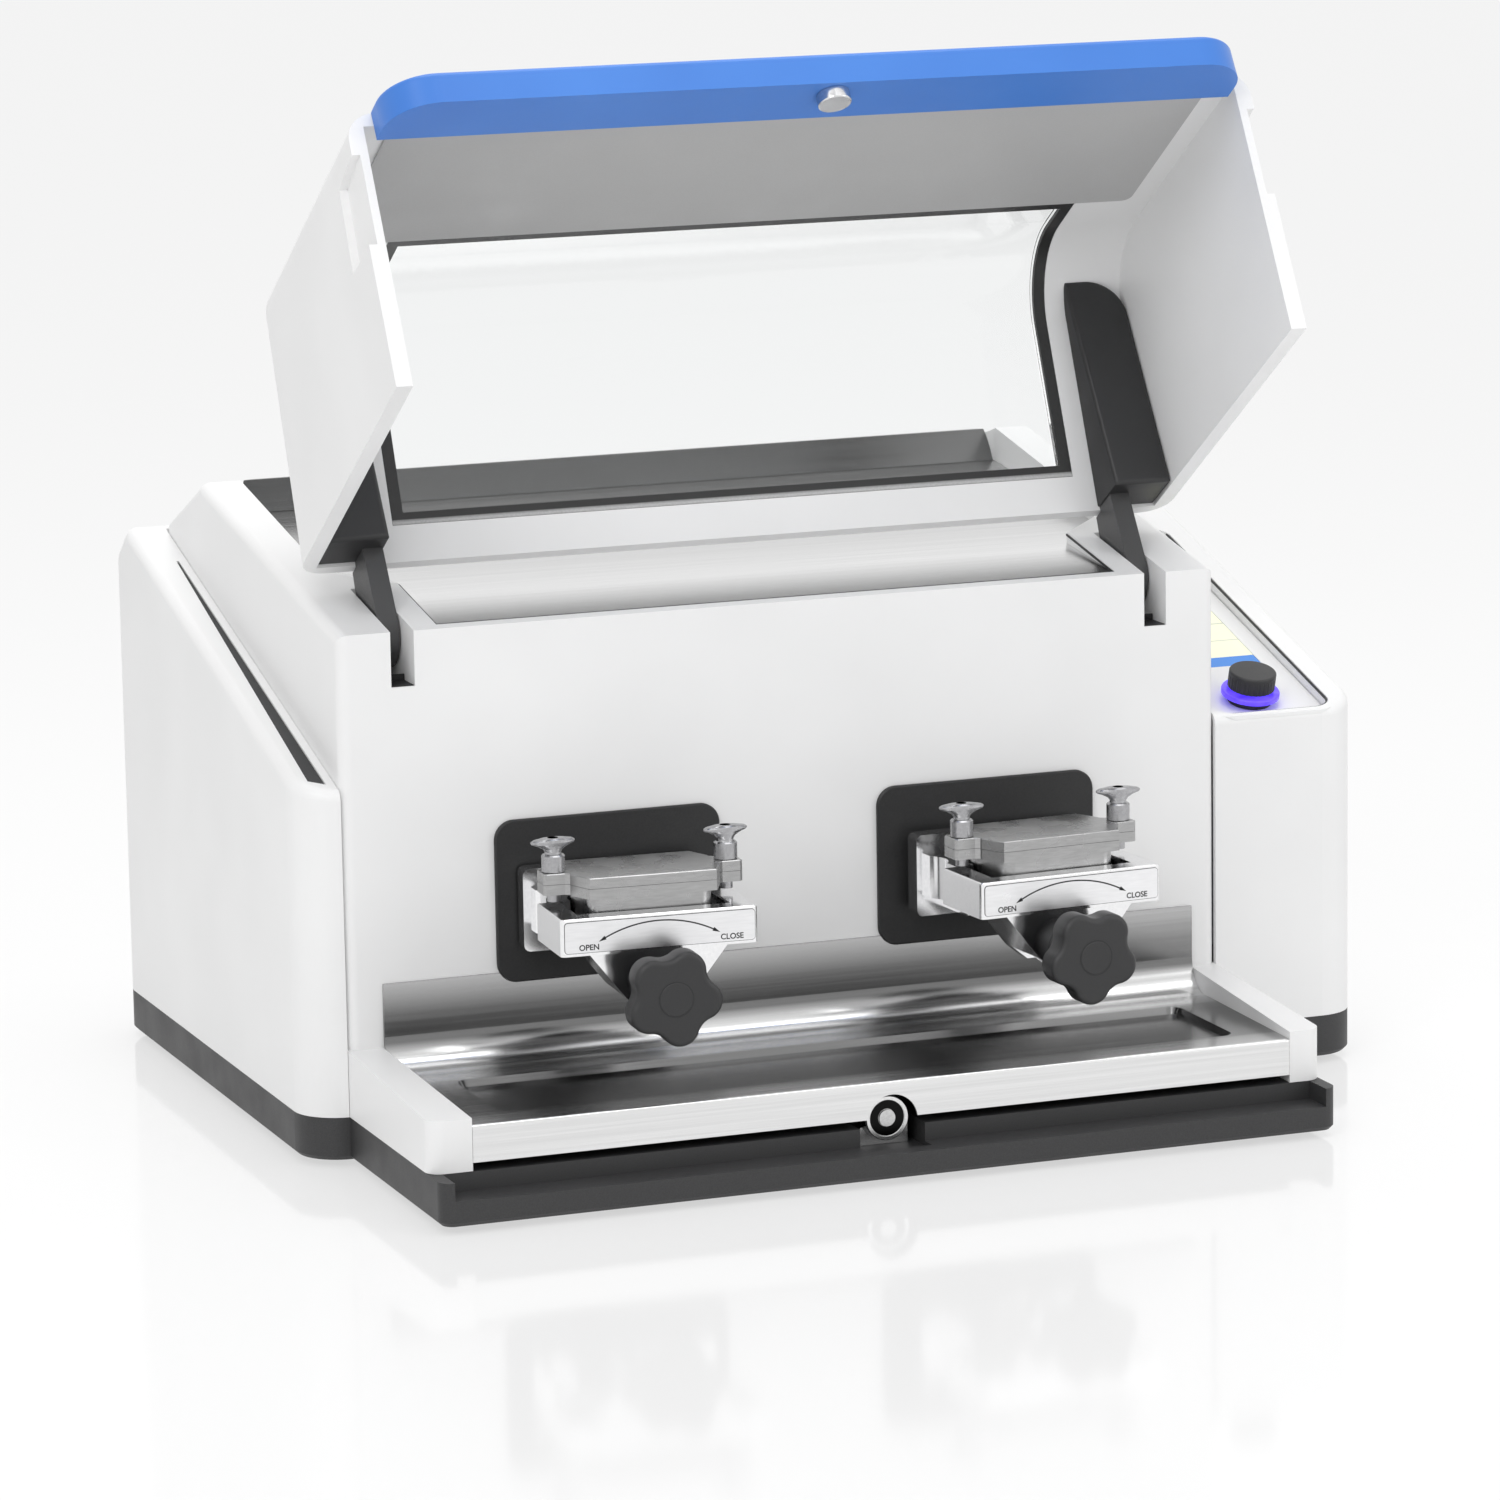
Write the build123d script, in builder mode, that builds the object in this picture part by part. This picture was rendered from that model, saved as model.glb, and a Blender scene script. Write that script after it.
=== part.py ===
# Laboratory mixer mill: two jars swing in flat arcs in front of a housing, under a hinged hood.
# Origin: middle of the footprint, on the bench. +X to the operator's right, +Y to the rear, +Z up.
# The hood is modelled open, the jars clamped and at the outer end of their swing.
from math import cos, hypot, radians, sin, tan
import os

from build123d import *

os.makedirs("parts", exist_ok=True)

# ---------------------------------------------------------------- driving sizes, mm
# Overall
overall_width = 690.0
overall_depth = 585.0
foot_height = 4.0
skirt_top = 30.0  # top of the dark base all round
run_gap = 0.3  # between pieces that move apart
seat_gap = 0.2  # between pieces that are screwed together

# Central housing, which carries the chamber
body_mid_x = -37.5
body_width = 563.0
panel_y = -118.0  # front panel
panel_top = 319.0  # front edge of the top
top_pitch = 10.6  # the top climbs to the rear, degrees
ridge_y = 165.0
body_rear_y = 245.0
body_rear_top = 337.0
body_wall = 4.0
body_edge_radius = 7.0

# Outer cover: two side cheeks joined round the back
cheek_front_top = 226.0
cheek_pitch = 16.3  # degrees
cheek_peak_y = 250.0
cheek_rear_top = 300.0
cheek_corner_radius = 28.0
cheek_edge_radius = 7.0
cheek_wall = 4.0

# Chamber floor: steel tray between two low wings
chamber_mid_x = -32.5
tray_mid_x = -35.0
tray_width_back = 524.0
tray_width_lip = 515.0
lip_y = -270.0
tray_sheet = 2.0
tray_back_top = 109.0
tray_floor = 57.0
tray_cove = 20.0  # inside radius between back and floor
lip_height = 22.0
dish_width = 470.0
dish_front_y = -248.0
dish_rear_y = -160.0
dish_drop = 4.0
wing_top_back = 70.5
wing_top_front = 61.3
wing_corner_radius = 9.0
nose_height = 19.0  # dark base in front of the lip
nose_end_width = 8.0
base_hollow = 8.0
base_rim = 14.0
foot_radius = 16.0
foot_inset = 48.0

# Hood, in its closed place
hood_width = 564.0
hood_front_y = -288.5
hood_rear_y = -119.8
hood_rim_front = 61.5
hood_rim_rear = 71.6
hood_side_wall = 10.0
hood_wall = 8.0
hood_bend_radius = 18.0
glass_bend_radius = 60.0
hood_edge_radius = 17.0
grip_depth = 5.0
hinge_y = -74.4
hinge_z = 310.8
hood_travel = 123.7  # degrees from open to closed
window_width = 442.0
window_rear_y = -142.0
window_bottom_z = 206.0
window_corner_radius = 18.0
gasket_width = 7.5
glass_thickness = 4.0
glass_inset = 2.0
strip_width = 532.0
strip_depth = 20.0
strip_bottom = 20.0
strip_front_y = -291.0
strip_corner_radius = 30.0

# Hinge arms of the hood
arm_offset = 241.5  # from the body's middle
arm_thickness = 12.5
slot_width = 14.5
slot_bottom = 286.0
slot_rear_y = -41.0
arm_bottom = 291.0
arm_boss_radius = 20.0
arm_top = 0.5  # the closed arms lie this far below the housing's top
arm_front_y = -188.0
hinge_pin_radius = 4.0
hinge_pin_length = 26.0
pin_fit = 0.05  # radial play of the hinge arms on their pins
cover_width = 36.0
cover_bottom = 276.0
cover_rear_y = -121.0
cover_front_y = -262.0
cover_wall = 2.5

# Latch
magnet_radius = 13.5
magnet_length = 30.0
magnet_face_y = -262.0
magnet_z = 33.0
pole_radius = 5.0
disc_radius = 10.0
disc_thickness = 7.0

# Jar stations
rocker_spacing = 234.4
rocker_y = -30.0
rocker_reach = 202.4  # from the rocker's axis to the front of the clamp
swing_half_angle = 3.67  # degrees each way
port_width = 142.0
port_height = 98.0
port_bottom = 103.0
port_spacing = 244.0
port_corner_radius = 12.0
port_plate = 3.0
port_rebate = 8.0  # the cover plate laps the panel by this much
clamp_width = 119.4
clamp_depth = 52.0
clamp_height = 22.0
clamp_top = 162.0
clamp_bar = 13.5
clamp_side = 14.0
clamp_travel = 6.0
spindle_lead = 3.0
block_width = 114.0
block_plate = 12.0
block_waist = 102.0
block_top = 174.0
block_bottom = 124.0
jar_width = 75.0
jar_depth = 51.0
jar_centre_v = 40.5  # behind the clamp's front face
jar_bottom = 140.5
flange_bottom = 170.2
flange_height = 6.1
lid_height = 6.3
lid_width = 82.6
lid_depth = 57.0
lid_chamfer = 13.0
ear_reach = 60.5
ear_width = 17.0
jar_wall = 6.0
screw_pitch = 105.0  # between the two wing screws
screw_radius = 4.0
sleeve_radius = 7.0
sleeve_height = 10.5
wing_span = 28.0
wing_height = 10.5
knob_radius = 29.0
knob_lobe_radius = 8.5
knob_thickness = 16.0
knob_hub_radius = 14.0
knob_front_v = -31.5
knob_cap_radius = 10.0
spindle_z = 117.0
spindle_radius = 6.0
lug_thickness = 9.0
shaft_fit = 0.05  # radial play of shafts in their bores

# Drive inside the housing
deck_bottom = 84.0
deck_thickness = 14.0
bridge_bottom = 214.0
bridge_thickness = 14.0
rocker_hub_radius = 24.0
rocker_shaft_radius = 12.0
bearing_radius = 22.0
bearing_height = 12.0
lever_length = 47.0
lever_pin_radius = 6.0
rod_height = 10.0
crank_radius = 14.0
crank_cam_radius = 20.0
motor_y = 150.0
motor_radius = 52.0
motor_height = 104.0
motor_shaft_radius = 8.0
big_pulley_radius = 44.0
small_pulley_radius = 26.0
pulley_height = 18.0
belt_thickness = 3.0

# Controls on the right cheek
plate_sink = 8.0
plate_left_x = 248.0
plate_right_x = 326.0
plate_low = 4.0  # along the slope, from the cheek's front edge
plate_high = 270.0
plate_thickness = 3.0
plate_corner_radius = 12.0
plate_gap = 0.8
display_right_x = 314.0
display_left_x = 254.0
display_low = 82.0  # along the slope, from the cheek's front edge
display_high = 182.0
dial_x = 283.0
dial_along = 33.0  # along the slope, from the cheek's front edge
dial_radius = 14.8
dial_height = 15.0
dial_push = 1.5
ring_radius = 18.4
ring_height = 6.5
collar_radius = 13.0
collar_height = 8.0

# ---------------------------------------------------------------- derived sizes
half_width = overall_width / 2
front_y = -overall_depth / 2
rear_y = overall_depth / 2
body_left = body_mid_x - body_width / 2
body_right = body_mid_x + body_width / 2
pitch = tan(radians(top_pitch))
cheek_slope = tan(radians(cheek_pitch))
ridge_z = panel_top + (ridge_y - panel_y) * pitch
cheek_peak = cheek_front_top + (cheek_peak_y - panel_y) * cheek_slope
swing = radians(swing_half_angle)
crank_throw = lever_length * sin(swing)
lid_bottom = flange_bottom + flange_height + seat_gap
lid_top = lid_bottom + lid_height


def top_z(y):
    """Height of the housing's sloping top at a depth y."""
    return panel_top + (y - panel_y) * pitch


def keep(piece, name):
    """Label a finished piece and write it."""
    piece.part.label = name
    export_step(piece.part, f"parts/{name}.step")


# ---------------------------------------------------------------- working planes
def hood_point(y, z):
    """Where a point of the closed hood lies when the hood is open."""
    turn = radians(-hood_travel)
    dy = y - hinge_y
    dz = z - hinge_z
    return (hinge_y + dy * cos(turn) - dz * sin(turn), hinge_z + dy * sin(turn) + dz * cos(turn))


def hood_side(x):
    """Plane of constant x, whose sketches use the closed hood's y and z."""
    y0, z0 = hood_point(0, 0)
    turn = radians(-hood_travel)
    return Plane(origin=(x, y0, z0), x_dir=(0, cos(turn), sin(turn)), z_dir=(1, 0, 0))


def hood_front(y):
    """Plane across the hood at a closed depth y, facing forward; sketches use x and z."""
    y0, z0 = hood_point(y, 0)
    turn = radians(-hood_travel)
    return Plane(origin=(0, y0, z0), x_dir=(1, 0, 0), z_dir=(0, -cos(turn), -sin(turn)))


def rocker_x(side):
    """Rocker axis of the left (-1) or right (+1) station."""
    return chamber_mid_x + side * rocker_spacing / 2


def station_origin(side):
    """Front middle of the clamp at rest, at the outer end of the swing."""
    return (rocker_x(side) + rocker_reach * sin(swing) * side, rocker_y - rocker_reach * cos(swing))


def station_plan(side, z):
    """Level plane in a station's own axes: u across, v to the rear."""
    x0, y0 = station_origin(side)
    turn = swing * side
    return Plane(origin=(x0, y0, z), x_dir=(cos(turn), sin(turn), 0), z_dir=(0, 0, 1))


def station_front(side, v):
    """Upright plane facing forward, v behind the clamp's front; sketches use u and z."""
    x0, y0 = station_origin(side)
    turn = swing * side
    origin = (x0 - v * sin(turn), y0 + v * cos(turn), 0)
    return Plane(origin=origin, x_dir=(cos(turn), sin(turn), 0), z_dir=(sin(turn), -cos(turn), 0))


def cheek_plane(lift=0.0):
    """Plane on the right cheek's slope, with its origin at the front edge of the slope."""
    slope = radians(cheek_pitch)
    origin = (0, panel_y - lift * sin(slope), cheek_front_top + lift * cos(slope))
    return Plane(origin=origin, x_dir=(1, 0, 0), z_dir=(0, -sin(slope), cos(slope)))


def outline(points):
    """Closed outline in the current sketch, in the plane's own coordinates."""
    Polygon(*points, align=None)


# ================================================================ base
def footprint(inset=0.0):
    """Plan outline of the base: cheeks and rear, with the nose that carries the tray."""
    with Locations((0, (panel_y + rear_y) / 2)):
        RectangleRounded(
            overall_width - 2 * inset, rear_y - panel_y - 2 * inset, cheek_corner_radius - inset
        )
    nose_depth = panel_y - front_y + cheek_corner_radius - inset
    with Locations((body_mid_x, front_y + inset)):
        RectangleRounded(
            body_width - 2 * inset, nose_depth, wing_corner_radius, align=(Align.CENTER, Align.MIN)
        )


magnet_x = chamber_mid_x - 1.5
pocket_width = 41.0
pocket_floor = 16.0
pocket_rear_y = -228.0
with BuildPart() as base_plate:
    with BuildSketch(Plane.XY.offset(foot_height)):
        footprint()
    extrude(amount=skirt_top - foot_height)
    chamfer(base_plate.edges().group_by(Axis.Z)[0], 2.5)
    # the nose steps down between its ends, where the hood's grip strip comes to rest
    with BuildSketch(Plane.XZ.offset(-lip_y)):
        with Locations((body_mid_x, nose_height)):
            Rectangle(
                body_width - 2 * nose_end_width, 2 * skirt_top, align=(Align.CENTER, Align.MIN)
            )
    extrude(amount=lip_y - front_y + 1, mode=Mode.SUBTRACT)
    # pocket for the catch magnet
    with BuildSketch(Plane.XY.offset(pocket_floor)):
        with Locations((magnet_x, pocket_rear_y)):
            Rectangle(pocket_width, pocket_rear_y - front_y - 12, align=(Align.CENTER, Align.MAX))
    extrude(amount=skirt_top, mode=Mode.SUBTRACT)
    # hollow underside
    with BuildSketch(Plane.XY.offset(foot_height)):
        footprint(inset=base_rim)
    extrude(amount=base_hollow, mode=Mode.SUBTRACT)
keep(base_plate, "base_plate")

with BuildPart() as feet:
    with BuildSketch(Plane.XY):
        with Locations((0, (panel_y + rear_y) / 2)):
            with GridLocations(overall_width - 2 * foot_inset, rear_y - panel_y - 2 * foot_inset, 2, 2):
                Circle(foot_radius)
        with Locations((body_mid_x, front_y + foot_inset)):
            with GridLocations(body_width - 2 * foot_inset, 1, 2, 1):
                Circle(foot_radius)
    extrude(amount=foot_height + base_hollow - seat_gap)
    chamfer(feet.edges().group_by(Axis.Z)[0], 1.2)
keep(feet, "feet")

# ================================================================ chamber housing
housing_bottom = skirt_top + seat_gap
recess_rear_y = 177.0
recess_front_y = -111.0
recess_pitch = 5.8  # the sheet's floor climbs less than the rim
recess_half_front = 218.0
recess_half_rear = 255.0
recess_corner_radius = 12.0
recess_front_z = top_z(recess_front_y) - 1.0
sheet_thickness = 1.5
recess_slope = tan(radians(recess_pitch))


def recess_z(y):
    """Height of the recess floor in the housing's top."""
    return recess_front_z - sheet_thickness + (y - recess_front_y) * recess_slope


def recess_outline(inset=0.0):
    """Plan of the steel deck: narrow between the hinge slots, wide behind them."""
    half_front = recess_half_front - inset
    half_rear = recess_half_rear - inset
    front = recess_front_y + inset
    rear = recess_rear_y - inset
    half = [(half_front, front), (half_front, -37.0), (half_rear - 8, -13.0), (half_rear, 3.0)]
    half += [(half_rear, rear)]
    right = [(body_mid_x + u, y) for u, y in half]
    left = [(body_mid_x - u, y) for u, y in reversed(half)]
    outline(right + left)


with BuildPart() as housing_core:
    # space inside the housing, kept below the recess and away from the hinge pockets
    with BuildSketch(Plane.YZ.offset(body_left + body_wall)):
        outline(
            [
                (panel_y + body_wall, housing_bottom - 1),
                (panel_y + body_wall, recess_z(panel_y) - body_wall),
                (recess_rear_y, recess_z(recess_rear_y) - body_wall),
                (body_rear_y - body_wall, body_rear_top - 4 * body_wall),
                (body_rear_y - body_wall, housing_bottom - 1),
            ]
        )
    extrude(amount=body_width - 2 * body_wall)
    for side in (-1, 1):
        with BuildSketch(Plane.XY.offset(slot_bottom - body_wall)):
            with Locations((body_mid_x + side * body_width / 2, panel_y)):
                Rectangle(
                    2 * (body_width / 2 - arm_offset + slot_width), 2 * (slot_rear_y - panel_y + body_wall)
                )
        extrude(amount=100, mode=Mode.SUBTRACT)

with BuildPart() as deck_recess:
    # everything above the recess floor, inside the rim
    with BuildSketch(Plane.YZ.offset(body_left)):
        outline(
            [
                (recess_front_y - 1, recess_z(recess_front_y - 1)),
                (recess_front_y - 1, 500),
                (recess_rear_y + 1, 500),
                (recess_rear_y + 1, recess_z(recess_rear_y + 1)),
            ]
        )
    extrude(amount=body_width)
    with BuildSketch(Plane.XY):
        recess_outline()
    extrude(amount=600, mode=Mode.INTERSECT)
    fillet(deck_recess.edges().filter_by(Axis.Z).group_by(Axis.Y)[-1], recess_corner_radius)

with BuildPart() as chamber_housing:
    with BuildSketch(Plane.YZ.offset(body_left)):
        outline(
            [
                (panel_y, housing_bottom),
                (panel_y, panel_top),
                (ridge_y, ridge_z),
                (body_rear_y, body_rear_top),
                (body_rear_y, housing_bottom),
            ]
        )
    extrude(amount=body_width)
    side_edges = ShapeList()
    for end in (chamber_housing.faces().sort_by(Axis.X)[0], chamber_housing.faces().sort_by(Axis.X)[-1]):
        side_edges += end.edges().filter_by(lambda edge: edge.center().Z > housing_bottom + 1)
    fillet(side_edges, body_edge_radius)
    # wings beside the tray
    with BuildSketch(Plane.YZ.offset(body_left)):
        outline(
            [
                (panel_y + body_wall, housing_bottom),
                (panel_y + body_wall, wing_top_back),
                (lip_y, wing_top_front),
                (lip_y, housing_bottom),
            ]
        )
    extrude(amount=body_width)
    wing_corners = chamber_housing.edges().filter_by(Axis.Z).group_by(Axis.Y)[0]
    fillet(wing_corners, wing_corner_radius)
    with BuildSketch(Plane.XY.offset(housing_bottom)):
        outline(
            [
                (tray_mid_x - tray_width_back / 2 - seat_gap, panel_y),
                (tray_mid_x + tray_width_back / 2 + seat_gap, panel_y),
                (tray_mid_x + tray_width_lip / 2 + seat_gap, lip_y - 1),
                (tray_mid_x - tray_width_lip / 2 - seat_gap, lip_y - 1),
            ]
        )
    extrude(amount=wing_top_back + 5 - housing_bottom, mode=Mode.SUBTRACT)
    add(housing_core.part, mode=Mode.SUBTRACT)
    # recess for the steel deck, deeper toward the rear
    add(deck_recess.part, mode=Mode.SUBTRACT)
    # ports for the swing arms
    with BuildSketch(Plane.XZ.offset(-panel_y)):
        with Locations((chamber_mid_x, port_bottom + port_height / 2)):
            with GridLocations(port_spacing, 1, 2, 1):
                RectangleRounded(
                    port_width - 2 * port_rebate, port_height - 2 * port_rebate, port_corner_radius
                )
    extrude(amount=-3 * body_wall, mode=Mode.SUBTRACT)
    # slots and cross bores for the hood's hinge arms
    for side in (-1, 1):
        with BuildSketch(Plane.XY.offset(slot_bottom)):
            with Locations((body_mid_x + side * arm_offset, panel_y - 1)):
                Rectangle(slot_width, slot_rear_y - panel_y + 1, align=(Align.CENTER, Align.MIN))
        extrude(amount=100, mode=Mode.SUBTRACT)
        with BuildSketch(Plane.YZ.offset(body_mid_x + side * arm_offset - hinge_pin_length / 2)):
            with Locations((hinge_y, hinge_z)):
                Circle(hinge_pin_radius)
        extrude(amount=hinge_pin_length, mode=Mode.SUBTRACT)
keep(chamber_housing, "chamber_housing")

# ================================================================ steel deck in the top
with BuildPart() as steel_deck:
    with BuildSketch(Plane.YZ.offset(body_left)):
        deck_front = recess_front_y - 1
        deck_rear = recess_rear_y + 1
        outline(
            [
                (deck_front, recess_z(deck_front) + seat_gap),
                (deck_front, recess_z(deck_front) + seat_gap + sheet_thickness),
                (recess_rear_y - 6 * sheet_thickness, recess_z(recess_rear_y) + 2.4 * sheet_thickness),
                (recess_rear_y - 2 * sheet_thickness, top_z(ridge_y) - 1.5),
                (deck_rear, top_z(ridge_y) - 1.5),
                (deck_rear, recess_z(deck_rear) + seat_gap),
            ]
        )
    extrude(amount=body_width)
    with BuildSketch(Plane.XY):
        recess_outline(inset=run_gap)
    extrude(amount=500, mode=Mode.INTERSECT)
    fillet(steel_deck.edges().filter_by(Axis.Z).group_by(Axis.Y)[-1], recess_corner_radius)
keep(steel_deck, "steel_deck")

# ================================================================ outer cover: cheeks and rear
cover_top = [
    (panel_y, cheek_front_top),
    (cheek_peak_y, cheek_peak),
    (rear_y, cheek_rear_top),
]


def cheek_z(y):
    """Height of the cheeks' slope at a depth y."""
    return cheek_front_top + (y - panel_y) * cheek_slope


with BuildPart() as cover_core:
    with BuildSketch(Plane.YZ.offset(-half_width)):
        outline(
            [
                (panel_y, housing_bottom - 1),
                (panel_y, cheek_front_top - cheek_wall),
                (cheek_peak_y, cheek_peak - cheek_wall),
                (rear_y, cheek_rear_top - cheek_wall),
                (rear_y, housing_bottom - 1),
            ]
        )
    extrude(amount=overall_width)
    with BuildSketch(Plane.XY):
        with Locations((0, (panel_y + rear_y) / 2)):
            RectangleRounded(
                overall_width - 2 * cheek_wall,
                rear_y - panel_y - 2 * cheek_wall,
                cheek_corner_radius - cheek_wall,
            )
    extrude(amount=500, mode=Mode.INTERSECT)

inlet_x = 262.0
inlet_z = 82.0
inlet_width = 50.0
inlet_height = 30.0
switch_z = 122.0
switch_width = 32.0
switch_height = 26.0
vent_count = 9
vent_pitch = 14.0
vent_length = 120.0
vent_width = 5.0
vent_x = -150.0
vent_z = 150.0
trim_slot_low = 12.0
trim_slot_high = 330.0
plate_width = plate_right_x - plate_left_x


def trim_outline(inset):
    """Long wedge of the dark trim beside the left edge of the housing, on the cheek's slope."""
    right = body_left - 5.5 - inset
    outline(
        [
            (right, trim_slot_low + inset),
            (right - 9.5 + 2 * inset, trim_slot_low + 6 + inset),
            (right - 1.6 + 2 * inset, trim_slot_high - inset),
            (right, trim_slot_high - inset),
        ]
    )


with BuildPart() as outer_cover:
    with BuildSketch(Plane.YZ.offset(-half_width)):
        outline([(panel_y, housing_bottom)] + cover_top + [(rear_y, housing_bottom)])
    extrude(amount=overall_width)
    with BuildSketch(Plane.XY):
        with Locations((0, (panel_y + rear_y) / 2)):
            RectangleRounded(overall_width, rear_y - panel_y, cheek_corner_radius)
    extrude(amount=500, mode=Mode.INTERSECT)
    top_edges = outer_cover.edges().filter_by(
        lambda edge: edge.center().Z > cheek_front_top - 1 and edge.geom_type != GeomType.OTHER
    )
    rim_edges = top_edges.filter_by(
        lambda edge: abs(edge.tangent_at(0.5).Z) < 0.95 and abs(edge.center().Y - cheek_peak_y) > 1
    )
    fillet(rim_edges, cheek_edge_radius)
    add(cover_core.part, mode=Mode.SUBTRACT)
    # room for the chamber housing between the cheeks
    with BuildSketch(Plane.XY):
        with Locations((body_mid_x, panel_y - 1)):
            Rectangle(
                body_width + 2 * run_gap,
                body_rear_y - panel_y + 1 + run_gap,
                align=(Align.CENTER, Align.MIN),
            )
    extrude(amount=500, mode=Mode.SUBTRACT)
    # cooling slots, mains inlet and switch in the rear wall
    with BuildSketch(Plane.XZ.offset(-rear_y)):
        with Locations((vent_x, vent_z)):
            with GridLocations(1, vent_pitch, 1, vent_count):
                SlotOverall(vent_length, vent_width)
        with Locations((inlet_x, inlet_z)):
            Rectangle(inlet_width, inlet_height)
        with Locations((inlet_x, switch_z)):
            Rectangle(switch_width, switch_height)
    extrude(amount=2 * cheek_wall, mode=Mode.SUBTRACT)
    # wedge slot for the dark trim on the left cheek
    with BuildSketch(cheek_plane()):
        trim_outline(0)
    extrude(amount=3 * cheek_wall, both=True, mode=Mode.SUBTRACT)
    # well for the control plate on the right cheek
    with BuildSketch(cheek_plane(-plate_sink - plate_thickness - cheek_wall)):
        with Locations(((plate_left_x + plate_right_x) / 2, (plate_low + plate_high) / 2)):
            RectangleRounded(
                plate_width + 2 * cheek_wall + 2 * plate_gap,
                plate_high - plate_low + 2 * plate_gap + 2 * cheek_wall,
                plate_corner_radius + cheek_wall,
            )
    extrude(amount=plate_sink + plate_thickness + cheek_wall - 1)
    with BuildSketch(cheek_plane(-plate_sink - plate_thickness)):
        with Locations(((plate_left_x + plate_right_x) / 2, (plate_low + plate_high) / 2)):
            RectangleRounded(
                plate_width + 2 * plate_gap, plate_high - plate_low + 2 * plate_gap, plate_corner_radius
            )
    extrude(amount=60, mode=Mode.SUBTRACT)
    with BuildSketch(cheek_plane(-plate_sink - plate_thickness - cheek_wall - 1)):
        with Locations(((plate_left_x + plate_right_x) / 2, (plate_low + plate_high) / 2)):
            RectangleRounded(
                plate_width - 2 * cheek_wall, plate_high - plate_low - 2 * cheek_wall, plate_corner_radius
            )
    extrude(amount=60, mode=Mode.SUBTRACT)
    with BuildSketch(Plane.XY):
        with Locations((body_mid_x, panel_y - 1)):
            Rectangle(
                body_width + 2 * run_gap,
                body_rear_y - panel_y + 1 + run_gap,
                align=(Align.CENTER, Align.MIN),
            )
    extrude(amount=500, mode=Mode.SUBTRACT)
    with BuildSketch(Plane.YZ.offset(half_width)):
        outline([(panel_y, 0), (panel_y - 50, 0), (panel_y - 50, 400), (panel_y, 400)])
    extrude(amount=-overall_width, mode=Mode.SUBTRACT)
keep(outer_cover, "outer_cover")

# ================================================================ trim, rear fittings
trim_thickness = 5.0
trim_sink = 1.0
with BuildPart() as side_trim:
    with BuildSketch(cheek_plane(-trim_sink - trim_thickness)):
        trim_outline(seat_gap)
    extrude(amount=trim_thickness)
    with BuildSketch(cheek_plane(-trim_sink - trim_thickness)):
        trim_outline(-1.6)
    extrude(amount=-2.0)
keep(side_trim, "side_trim")

with BuildPart() as mains_inlet:
    with BuildSketch(Plane.XZ.offset(-rear_y)):
        with Locations((inlet_x, inlet_z)):
            RectangleRounded(inlet_width - 2 * seat_gap, inlet_height - 2 * seat_gap, 1.0)
    extrude(amount=24)
    with BuildSketch(Plane.XZ.offset(-rear_y + cheek_wall + seat_gap)):
        with Locations((inlet_x, inlet_z)):
            Rectangle(inlet_width + 8, inlet_height + 4)
    extrude(amount=3.0)
    with BuildSketch(Plane.XZ.offset(-rear_y)):
        with Locations((inlet_x, inlet_z)):
            RectangleRounded(27, 19, 3.0)
    extrude(amount=17, mode=Mode.SUBTRACT)
    # three flat pins
    with BuildSketch(Plane.XZ.offset(-rear_y + 17)):
        with Locations((inlet_x, inlet_z + 2)):
            Rectangle(2, 4)
        with Locations((inlet_x, inlet_z - 3)):
            with GridLocations(14, 1, 2, 1):
                Rectangle(2, 4)
    extrude(amount=-15)
keep(mains_inlet, "mains_inlet")

switch_frame_wall = 3.0
rocker_half = 9.0
switch_pivot_y = rear_y - 7.0
with BuildPart() as switch_frame:
    with BuildSketch(Plane.XZ.offset(-rear_y + cheek_wall + seat_gap)):
        with Locations((inlet_x, switch_z)):
            Rectangle(switch_width + 6, switch_height + 6)
    extrude(amount=3.0)
    with BuildSketch(Plane.XZ.offset(-rear_y)):
        with Locations((inlet_x, switch_z)):
            Rectangle(switch_width - 2 * seat_gap, switch_height - 2 * seat_gap)
    extrude(amount=24)
    with BuildSketch(Plane.XZ.offset(-rear_y - 2)):
        with Locations((inlet_x, switch_z)):
            Rectangle(
                switch_width - 2 * switch_frame_wall, switch_height - 2 * switch_frame_wall
            )
    extrude(amount=20, mode=Mode.SUBTRACT)
    with BuildSketch(Plane.YZ.offset(inlet_x - switch_width / 2 + 1)):
        with Locations((switch_pivot_y, switch_z)):
            Circle(1.5)
    extrude(amount=switch_width - 2, mode=Mode.SUBTRACT)
keep(switch_frame, "switch_frame")

with BuildPart() as power_switch:
    # rocker, pressed in at its foot: the machine is off
    rocker_plane = Plane(
        origin=(inlet_x - switch_width / 2 + switch_frame_wall + run_gap, switch_pivot_y, switch_z),
        x_dir=(0, cos(radians(9)), sin(radians(9))),
        z_dir=(1, 0, 0),
    )
    rocker_width = switch_width - 2 * switch_frame_wall - 2 * run_gap
    with BuildSketch(rocker_plane):
        outline([(-6, -5), (5.2, -rocker_half), (4.4, 0), (5.2, rocker_half), (-6, 5)])
    extrude(amount=rocker_width)
    with BuildSketch(rocker_plane):
        Circle(1.44)
    extrude(amount=rocker_width + 1.5)
    with BuildSketch(rocker_plane):
        Circle(1.44)
    extrude(amount=-1.5)
keep(power_switch, "power_switch")

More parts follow.
